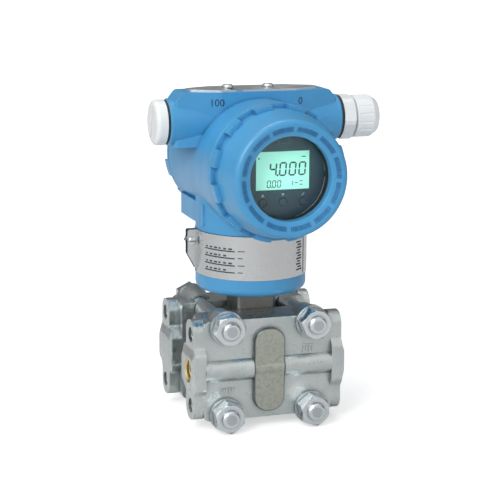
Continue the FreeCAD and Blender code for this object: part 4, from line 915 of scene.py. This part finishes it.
def point_cloud(places):
    """Loose points, each with the turn of what will stand on it."""
    mesh = bpy.data.meshes.new("points")
    mesh.from_pydata([point for point, turn in places], [], [])
    turns = mesh.attributes.new("turn", "FLOAT_VECTOR", "POINT")
    for i, (point, turn) in enumerate(places):
        turns.data[i].vector = tuple(turn)
    return mesh


def stand_threads(context, name, places, finish, radius, run, pitch, tooth=1.0):
    """Threads at the given places as one piece. tooth is a share of the usual tooth."""
    threads = context.scene.transmitter_threads
    material = bpy.data.materials[finish]
    mesh = grown(thread_tree(), point_cloud(places), {
        "Radius": radius, "Pitch": pitch, "Length": run, "Tooth": threads.tooth * tooth,
        "Steps": threads.steps, "Finish": material})
    piece(name, mesh, material, "process_head")


# ---------------------------------------------------------------- operators
class TRANSMITTER_OT_finishes(bpy.types.Operator):
    """Give every part its finish"""
    bl_idname = "transmitter.finishes"
    bl_label = "Finishes"

    def execute(self, context):
        make_effects()
        made = make_finishes()
        for entry in frame["record"]["subparts"]:
            name = entry["node"]
            material = made.get(name) or made.get(entry["material_slot"])
            if material is None:
                raise RuntimeError(f"no finish for {name}")
            for slot in NODES[name].material_slots:
                slot.material = material
        return {"FINISHED"}


class TRANSMITTER_OT_bolt_threads(bpy.types.Operator):
    """Cut the threads on the ends of the flange bolts"""
    bl_idname = "transmitter.bolt_threads"
    bl_label = "Bolt threads"

    def execute(self, context):
        foot = low("flange_nuts").y + BOLT_FOOT
        run = foot - low("flange_bolts").y - BOLT_CHAMFER
        places = [((x, foot, z), TO_FRONT) for x in (-BOLT_AT, BOLT_AT) for z in (-BOLT_AT, BOLT_AT)]
        pitch = context.scene.transmitter_threads.bolt_pitch * BOLT_FINE
        stand_threads(context, "bolt_threads", places, "zinc_steel", BOLT_CORE_R, run,
                      pitch, tooth=0.8)
        return {"FINISHED"}


class TRANSMITTER_OT_port_threads(bpy.types.Operator):
    """Cut the pipe thread in the two open ports"""
    bl_idname = "transmitter.port_threads"
    bl_label = "Port threads"

    def execute(self, context):
        mouth = high("front_flange").x - PORT_INSET
        places = [((-mouth, PORT_Y, 0), TO_RIGHT), ((mouth, -PORT_Y, 0), TO_LEFT)]
        stand_threads(context, "port_threads", places, "brass", PORT_THREAD_R, 12 * MM,
                      context.scene.transmitter_threads.port_pitch)
        return {"FINISHED"}


class TRANSMITTER_OT_tap_threads(bpy.types.Operator):
    """Cut the threads in the eight tapped holes"""
    bl_idname = "transmitter.tap_threads"
    bl_label = "Tapped threads"

    def execute(self, context):
        mouth = END_X - TAP_INSET
        places = [((x, y, z), turn) for x, turn in ((-mouth, TO_RIGHT), (mouth, TO_LEFT))
                  for y in (PORT_Y, -PORT_Y) for z in (-TAP_Z, TAP_Z)]
        stand_threads(context, "tap_threads", places, "cast_steel_front", TAP_THREAD_R,
                      9 * MM, context.scene.transmitter_threads.bolt_pitch)
        return {"FINISHED"}


class TRANSMITTER_OT_cover_marks(bpy.types.Operator):
    """Raise the groups of bars round the window"""
    bl_idname = "transmitter.cover_marks"
    bl_label = "Cover marks"

    def execute(self, context):
        marks = context.scene.transmitter_marks
        centre = (0, low("front_cover").y + DISH_DEPTH, HEAD.z)
        # painted shade: the raised bars are a darker blue than the cover's own paint
        material = ink("mark_paint", shade(48, 124, 178), 0.5)
        mesh = grown(bar_ring_tree(), bpy.data.meshes.new("empty"), {
            "Places": marks.bars, "Group": marks.group, "Filled": marks.filled, "Radius": DISH_R,
            "Tilt": -DISH_SLOPE, "Bar": (marks.bar_height, marks.bar_width, marks.relief * 2),
            "Place": centre, "Seed": marks.seed, "Finish": material})
        piece("cover_marks", mesh, material, "window_cover")
        return {"FINISHED"}


SEGMENTS = {
    "0": "abcdef", "1": "bc", "2": "abged", "3": "abgcd", "4": "fgbc", "5": "afgcd", "6": "afgedc",
    "7": "abc", "8": "abcdefg", "9": "abcdfg", "-": "g",
}


def segment_outline(kind, width, height, stroke):
    """Six-sided outline of one segment of a figure."""
    half = stroke / 2
    gap = stroke * 0.12
    rows = {"a": height - half, "g": height / 2, "d": half}
    if kind in rows:
        z = rows[kind]
        left = half + gap
        right = width - half - gap
        return [(left, z), (left + half, z - half), (right - half, z - half), (right, z),
                (right - half, z + half), (left + half, z + half)]
    x = half if kind in "ef" else width - half
    bottom, top = (half, height / 2) if kind in "ec" else (height / 2, height - half)
    bottom += gap
    top -= gap
    return [(x, bottom), (x + half, bottom + half), (x + half, top - half), (x, top),
            (x - half, top - half), (x - half, bottom + half)]


def figures(marks, text, right, bottom, height, slant):
    """Adds a row of segment figures that ends at the given right edge."""
    width = height * 0.56
    stroke = height * 0.115
    pitch = width * 1.30
    x = right - width - pitch * (len(text.replace(".", "")) - 1)
    for letter in text:
        if letter == ".":
            side = stroke * 1.15
            start = x - (pitch - width) / 2 - side / 2
            marks.plate([(start + u, bottom + v) for u, v in ((0, 0), (side, 0), (side, side), (0, side))])
            continue
        for kind in SEGMENTS[letter]:
            outline = segment_outline(kind, width, height, stroke)
            marks.plate([(x + u + v * slant, bottom + v) for u, v in outline])
        x += pitch


READING_END = (13.0, -0.4)      # right edge and bottom of the large figures, mm from the middle
LOWER_END = (-1.0, -6.6)
CELL_INK = 0.05 * MM
CELL_BARS = (                   # left, right, bottom and top of the cell's small bars, mm
    (5.6, 6.0, -5.6, -3.2), (7.0, 8.7, -4.6, -4.15), (9.8, 11.5, -5.6, -5.15),
    (9.8, 11.5, -3.7, -3.25), (-14.0, -13.2, 9.1, 9.9), (10.8, 13.0, 9.6, 10.1),
)


class TRANSMITTER_OT_reading(bpy.types.Operator):
    """Draw the figures on the display"""
    bl_idname = "transmitter.reading"
    bl_label = "Display reading"

    def execute(self, context):
        shown = context.scene.transmitter_display
        marks = Marks(wall((0, low("lcd_panel").y - CELL_INK / 2, HEAD.z)), CELL_INK)
        figures(marks, shown.reading, *READING_END, shown.height / MM, shown.slant)
        figures(marks, shown.lower, *LOWER_END, shown.small / MM, shown.slant)
        for edges in CELL_BARS:
            marks.bar(*edges)
        material = ink("display_ink", shade(26, 70, 70), 0.3)
        marks.stand("display_reading", material, "electronics_head")
        return {"FINISHED"}


KEY_SIGNS = (                   # place across and outline of each sign, mm
    (-11.5, ((-1, -0.7), (1, -0.7), (0, 0.9))),
    (0, ((-1, 0.8), (0, -0.8), (1, 0.8))),
    (11.5, ((-1, -0.8), (-0.4, -0.8), (1, 0.8), (0.4, 0.8))),
)
KEY_LEVEL = -10.6
KEY_FACE = 1 * MM               # the keys' faces lie this far behind the bezel's
LATCH_LINES = (                 # left, right, bottom and top of each line, mm
    (-3.5, 3.5, 17.4, 17.6), (-3.5, 3.5, 20.2, 20.4), (-3.5, -3.3, 17.4, 20.4), (3.3, 3.5, 17.4, 20.4),
)


class TRANSMITTER_OT_key_marks(bpy.types.Operator):
    """Print the arrows beside the keys and the line round the latch"""
    bl_idname = "transmitter.key_marks"
    bl_label = "Key marks"

    def execute(self, context):
        front = low("display_bezel").y
        thickness = context.scene.transmitter_marks.ink
        marks = Marks(wall((0, front + KEY_FACE, HEAD.z)), thickness)
        for x, outline in KEY_SIGNS:
            marks.plate([(x + u, KEY_LEVEL + v) for u, v in outline])
        marks.stand("key_marks", ink("key_ink", shade(132, 168, 178)), "electronics_head")
        rim = Marks(wall((0, front, HEAD.z)), thickness)
        for edges in LATCH_LINES:
            rim.bar(*edges)
        rim.stand("latch_line", ink("latch_ink", shade(88, 130, 138)), "electronics_head")
        return {"FINISHED"}


LABEL_ROWS = (66.2, 62.2, 58.0, 54.0)               # levels of the printed lines, mm
LABEL_LINE = (-71, -34)                             # ends of a line, degrees from the front
LABEL_WORD = 5.6                                    # from one word to the next
LABEL_TICKS = [53.4 + row * 1.6 for row in range(11)]
LABEL_BORDER = (48.6, 50.4, 50.6, 74.4)             # left and right in degrees, bottom and top in mm


class TRANSMITTER_OT_label_print(bpy.types.Operator):
    """Print lines and ticks on the band round the neck"""
    bl_idname = "transmitter.label_print"
    bl_label = "Label print"

    def execute(self, context):
        radius = high("label_band").x

        def round_neck(across, up, out):
            """across is an angle in degrees, from the front."""
            away = Vector((0, -radius - out * MM, up * MM))
            return Matrix.Rotation(math.radians(across), 3, "Z") @ away
        marks = Marks(round_neck, context.scene.transmitter_marks.ink)
        for row, level in enumerate(LABEL_ROWS):
            marks.bar(*LABEL_LINE, level, level + 0.7, 12)
            for k in range(6 - row % 2):
                left = LABEL_LINE[0] + 2 + k * LABEL_WORD
                marks.bar(left, left + 2.4 + 0.8 * (k % 3), level + 1.2, level + 2.1, 2)
            marks.bar(-31, -24 - 2 * (row % 2), level + 0.3, level + 0.8, 3)
        for row, level in enumerate(LABEL_TICKS):
            marks.bar(35 + 2 * (row % 2), 45 - (row * 5) % 4, level, level + 0.9, 4)
        marks.bar(*LABEL_BORDER)
        material = ink("label_ink", context.scene.transmitter_finish.ink, 0.45)
        marks.stand("label_print", material, "process_head")
        return {"FINISHED"}


CHEEK_SLOPE = math.atan2(4.1, 26.0)                 # turn of the wall under the top plate, from the front
NUMBER_AT = (24.6 * MM, -13.19 * MM, 148.4 * MM)
NUMBER_SIZE = 5.7 * MM


class TRANSMITTER_OT_adjust_numbers(bpy.types.Operator):
    """Print 0 and 100 below the two buttons under the top plate"""
    bl_idname = "transmitter.adjust_numbers"
    bl_label = "Adjustment numbers"

    def execute(self, context):
        thickness = context.scene.transmitter_marks.ink
        stand_up = TO_FRONT.to_matrix().to_4x4()
        meshes = []
        for text, side in (("100", -1), ("0", 1)):
            place = Matrix.Translation((side * NUMBER_AT[0], NUMBER_AT[1], NUMBER_AT[2]))
            turn = Matrix.Rotation(side * CHEEK_SLOPE, 4, "Z")
            meshes.append(lettering(text, NUMBER_SIZE, thickness, place @ turn @ stand_up))
        material = ink("number_ink", shade(20, 54, 84))
        piece("adjust_numbers", merged("adjust_numbers", meshes), material, "electronics_head")
        return {"FINISHED"}


CAST_RIGHT, CAST_LEVEL = 20.6, 7.2                  # left edge and foot of the marks at the right, mm
CAST_LEFT, CAST_LOW = -28.6, -13.2                  # and of those at the left


class TRANSMITTER_OT_cast_marks(bpy.types.Operator):
    """Raise the small cast marks on the flanges"""
    bl_idname = "transmitter.cast_marks"
    bl_label = "Cast marks"

    def execute(self, context):
        marks = Marks(None, context.scene.transmitter_marks.relief)
        for side, turn in ((1, 0.0), (-1, math.pi)):
            marks.place = wall((0, side * FACE_Y, 0), turn)
            for column in range(4):
                x = CAST_RIGHT + column * 1.7
                marks.bar(x, x + 0.9, CAST_LEVEL + 0.8 * (column % 2), CAST_LEVEL + 3.2)
                marks.bar(x, x + 1.2, CAST_LEVEL + 4.1, CAST_LEVEL + 4.9 - 0.3 * (column % 2))
            for column in range(6):
                x = CAST_LEFT + column * 1.65
                marks.bar(x, x + 0.85, CAST_LOW + 0.7 * (column % 3), CAST_LOW + 3)
        material = bpy.data.materials["cast_steel_front"]
        marks.stand("cast_marks", material, "process_head")
        return {"FINISHED"}


TERMINAL_APART = 14.0                               # from one terminal to the next, mm
SIGN_LEVEL = 96.5
SIGN_ARM = 1.4
EARTH_PROUD = 3.8 * MM                              # from the head's wall to the earth screw's face
EARTH_ACROSS = 30.5


class TRANSMITTER_OT_terminal_marks(bpy.types.Operator):
    """Print the signs at the terminals and at the earth screw"""
    bl_idname = "transmitter.terminal_marks"
    bl_label = "Terminal marks"

    def execute(self, context):
        thickness = context.scene.transmitter_marks.ink
        marks = Marks(wall((0, high("terminal_block").y, 0), math.pi), thickness)
        self.plus(marks, TERMINAL_APART, SIGN_LEVEL)
        marks.bar(-SIGN_ARM, SIGN_ARM, SIGN_LEVEL - 0.3, SIGN_LEVEL + 0.3)
        self.earth(marks, -TERMINAL_APART, SIGN_LEVEL)
        material = ink("terminal_ink", shade(226, 230, 232))
        marks.stand("terminal_marks", material, "electronics_head")
        side = high("earth_screw").x - EARTH_PROUD
        sign = Marks(wall((side, 0, 0), math.pi / 2), thickness)
        self.earth(sign, EARTH_ACROSS, middle("earth_screw").z / MM)
        dark = ink("earth_ink", context.scene.transmitter_finish.ink)
        sign.stand("earth_mark", dark, "electronics_head")
        return {"FINISHED"}

    def plus(self, marks, x, z):
        marks.bar(x - SIGN_ARM, x + SIGN_ARM, z - 0.3, z + 0.3)
        marks.bar(x - 0.3, x + 0.3, z + 0.35, z + SIGN_ARM)
        marks.bar(x - 0.3, x + 0.3, z - SIGN_ARM, z - 0.35)

    def earth(self, marks, x, z):
        marks.bar(x - 0.25, x + 0.25, z + 0.3, z + 2.0)
        for half, down in ((1.6, 0.0), (1.0, 0.9), (0.45, 1.8)):
            marks.bar(x - half, x + half, z - down - 0.25, z - down + 0.2)


def area_lamp(name, place, power, size, aim):
    """Soft lamp aimed at a point."""
    data = bpy.data.lights.new(name, "AREA")
    data.energy = power
    data.shape = "RECTANGLE"
    data.size, data.size_y = size
    lamp = linked(name, data)
    lamp.location = place
    lamp.rotation_euler = (Vector(place) - aim).to_track_quat("Z", "Y").to_euler()


def seen_directly(tree):
    """1 for rays from the camera or through glass."""
    path = put(tree, "ShaderNodeLightPath").outputs
    return calc(tree, "ADD", path["Is Camera Ray"], path["Is Transmission Ray"], clamp=True)


class TRANSMITTER_OT_stage(bpy.types.Operator):
    """Set the floor, the lamps and the camera"""
    bl_idname = "transmitter.stage"
    bl_label = "Stage"

    def execute(self, context):
        stage = context.scene.transmitter_stage
        context.scene.view_settings.view_transform = "Standard"
        self.floor()
        self.sky(stage)
        aim = Vector((0, 0, 0.06))
        area_lamp("key_lamp", (-1.5, -1.5, 1.4), stage.key, (1.1, 1.3), aim)
        area_lamp("fill_lamp", (1.7, -1.0, 0.5), stage.fill, (0.7, 1.6), aim)
        area_lamp("top_lamp", (-0.2, 0.3, 1.9), stage.top, (1.2, 0.9), aim)
        self.camera(stage)
        return {"FINISHED"}

    def floor(self):
        mesh = bpy.data.meshes.new("floor")
        far = 30.0
        corners = [(x, y, CAD_BOX[0][2]) for x, y in ((-far, -far), (far, -far), (far, far), (-far, far))]
        mesh.from_pydata(corners, [], [(0, 1, 2, 3)])
        material = bpy.data.materials.new("floor")
        material.use_nodes = True
        tree = material.node_tree
        tree.nodes.clear()
        paper = put(tree, "ShaderNodeBsdfDiffuse", {"Color": (0.82, 0.82, 0.82, 1)})
        away = move(tree, "LENGTH", put(tree, "ShaderNodeTexCoord").outputs["Object"])
        level = between(tree, away, 0.25, 2.5, 0.55, 1.0)
        strength = calc(tree, "MULTIPLY", seen_directly(tree), level)
        glow = put(tree, "ShaderNodeEmission", {"Strength": strength})
        both = put(tree, "ShaderNodeAddShader", {0: paper.outputs[0], 1: glow.outputs[0]})
        put(tree, "ShaderNodeOutputMaterial", {"Surface": both.outputs[0]})
        mesh.materials.append(material)
        linked("floor", mesh)

    def sky(self, stage):
        world = bpy.data.worlds.new("studio")
        bpy.context.scene.world = world
        world.use_nodes = True
        tree = world.node_tree
        tree.nodes.clear()
        path = put(tree, "ShaderNodeLightPath").outputs
        facing = put(tree, "ShaderNodeTexCoord").outputs["Generated"]
        lit = between(tree, move(tree, "DOT_PRODUCT", facing, (-0.50, -0.58, 0.64)), -0.35, 0.95, 0.25, 1.5)
        level = put(tree, "ShaderNodeMix", {0: path["Is Glossy Ray"], 2: stage.sky, 3: stage.mirrored})
        around = calc(tree, "MULTIPLY", level.outputs[0], lit)
        strength = put(tree, "ShaderNodeMix", {0: seen_directly(tree), 2: around, 3: 1.0}).outputs[0]
        light = put(tree, "ShaderNodeBackground", {"Color": (1, 1, 1, 1), "Strength": strength})
        put(tree, "ShaderNodeOutputWorld", {"Surface": light.outputs[0]})

    def camera(self, stage):
        facing = Matrix.Rotation(-stage.azimuth, 4, "Z")
        facing = facing @ Matrix.Rotation(math.pi / 2 - stage.elevation, 4, "X")
        data = bpy.data.cameras.new("camera")
        data.lens = stage.lens
        data.sensor_width = 36
        data.clip_start = 0.01
        camera = linked("camera", data)
        place = Matrix.Translation((stage.aim_across, stage.aim_up, stage.distance))
        camera.matrix_world = facing @ place @ Matrix.Rotation(stage.roll, 4, "Z")
        bpy.context.scene.camera = camera


# ---------------------------------------------------------------- panel and registration
STEPS = (
    TRANSMITTER_OT_finishes, TRANSMITTER_OT_bolt_threads, TRANSMITTER_OT_port_threads,
    TRANSMITTER_OT_tap_threads, TRANSMITTER_OT_cover_marks, TRANSMITTER_OT_reading,
    TRANSMITTER_OT_key_marks, TRANSMITTER_OT_label_print, TRANSMITTER_OT_adjust_numbers,
    TRANSMITTER_OT_cast_marks, TRANSMITTER_OT_terminal_marks, TRANSMITTER_OT_stage,
)
SETTINGS = {
    "transmitter_finish": FinishSettings,
    "transmitter_threads": ThreadSettings,
    "transmitter_marks": MarkSettings,
    "transmitter_display": DisplaySettings,
    "transmitter_stage": StageSettings,
}


class TRANSMITTER_PT_panel(bpy.types.Panel):
    """Lists the steps that dress the transmitter"""
    bl_idname = "TRANSMITTER_PT_panel"
    bl_label = "Transmitter"
    bl_space_type = "VIEW_3D"
    bl_region_type = "UI"
    bl_category = "Transmitter"

    def draw(self, context):
        for name, group in SETTINGS.items():
            box = self.layout.box()
            box.label(text=group.__doc__.split(".")[0])
            for field in group.__annotations__:
                box.prop(getattr(context.scene, name), field)
        for step in STEPS:
            self.layout.operator(step.bl_idname)


CLASSES = (*SETTINGS.values(), *STEPS, TRANSMITTER_PT_panel)


def register():
    for item in CLASSES:
        bpy.utils.register_class(item)
    for name, group in SETTINGS.items():
        setattr(bpy.types.Scene, name, PointerProperty(type=group))


def unregister():
    for name in SETTINGS:
        delattr(bpy.types.Scene, name)
    for item in reversed(CLASSES):
        bpy.utils.unregister_class(item)


def main():
    register()
    for step in STEPS:
        group, name = step.bl_idname.split(".")
        getattr(getattr(bpy.ops, group), name)()


if __name__ == "__main__":
    main()
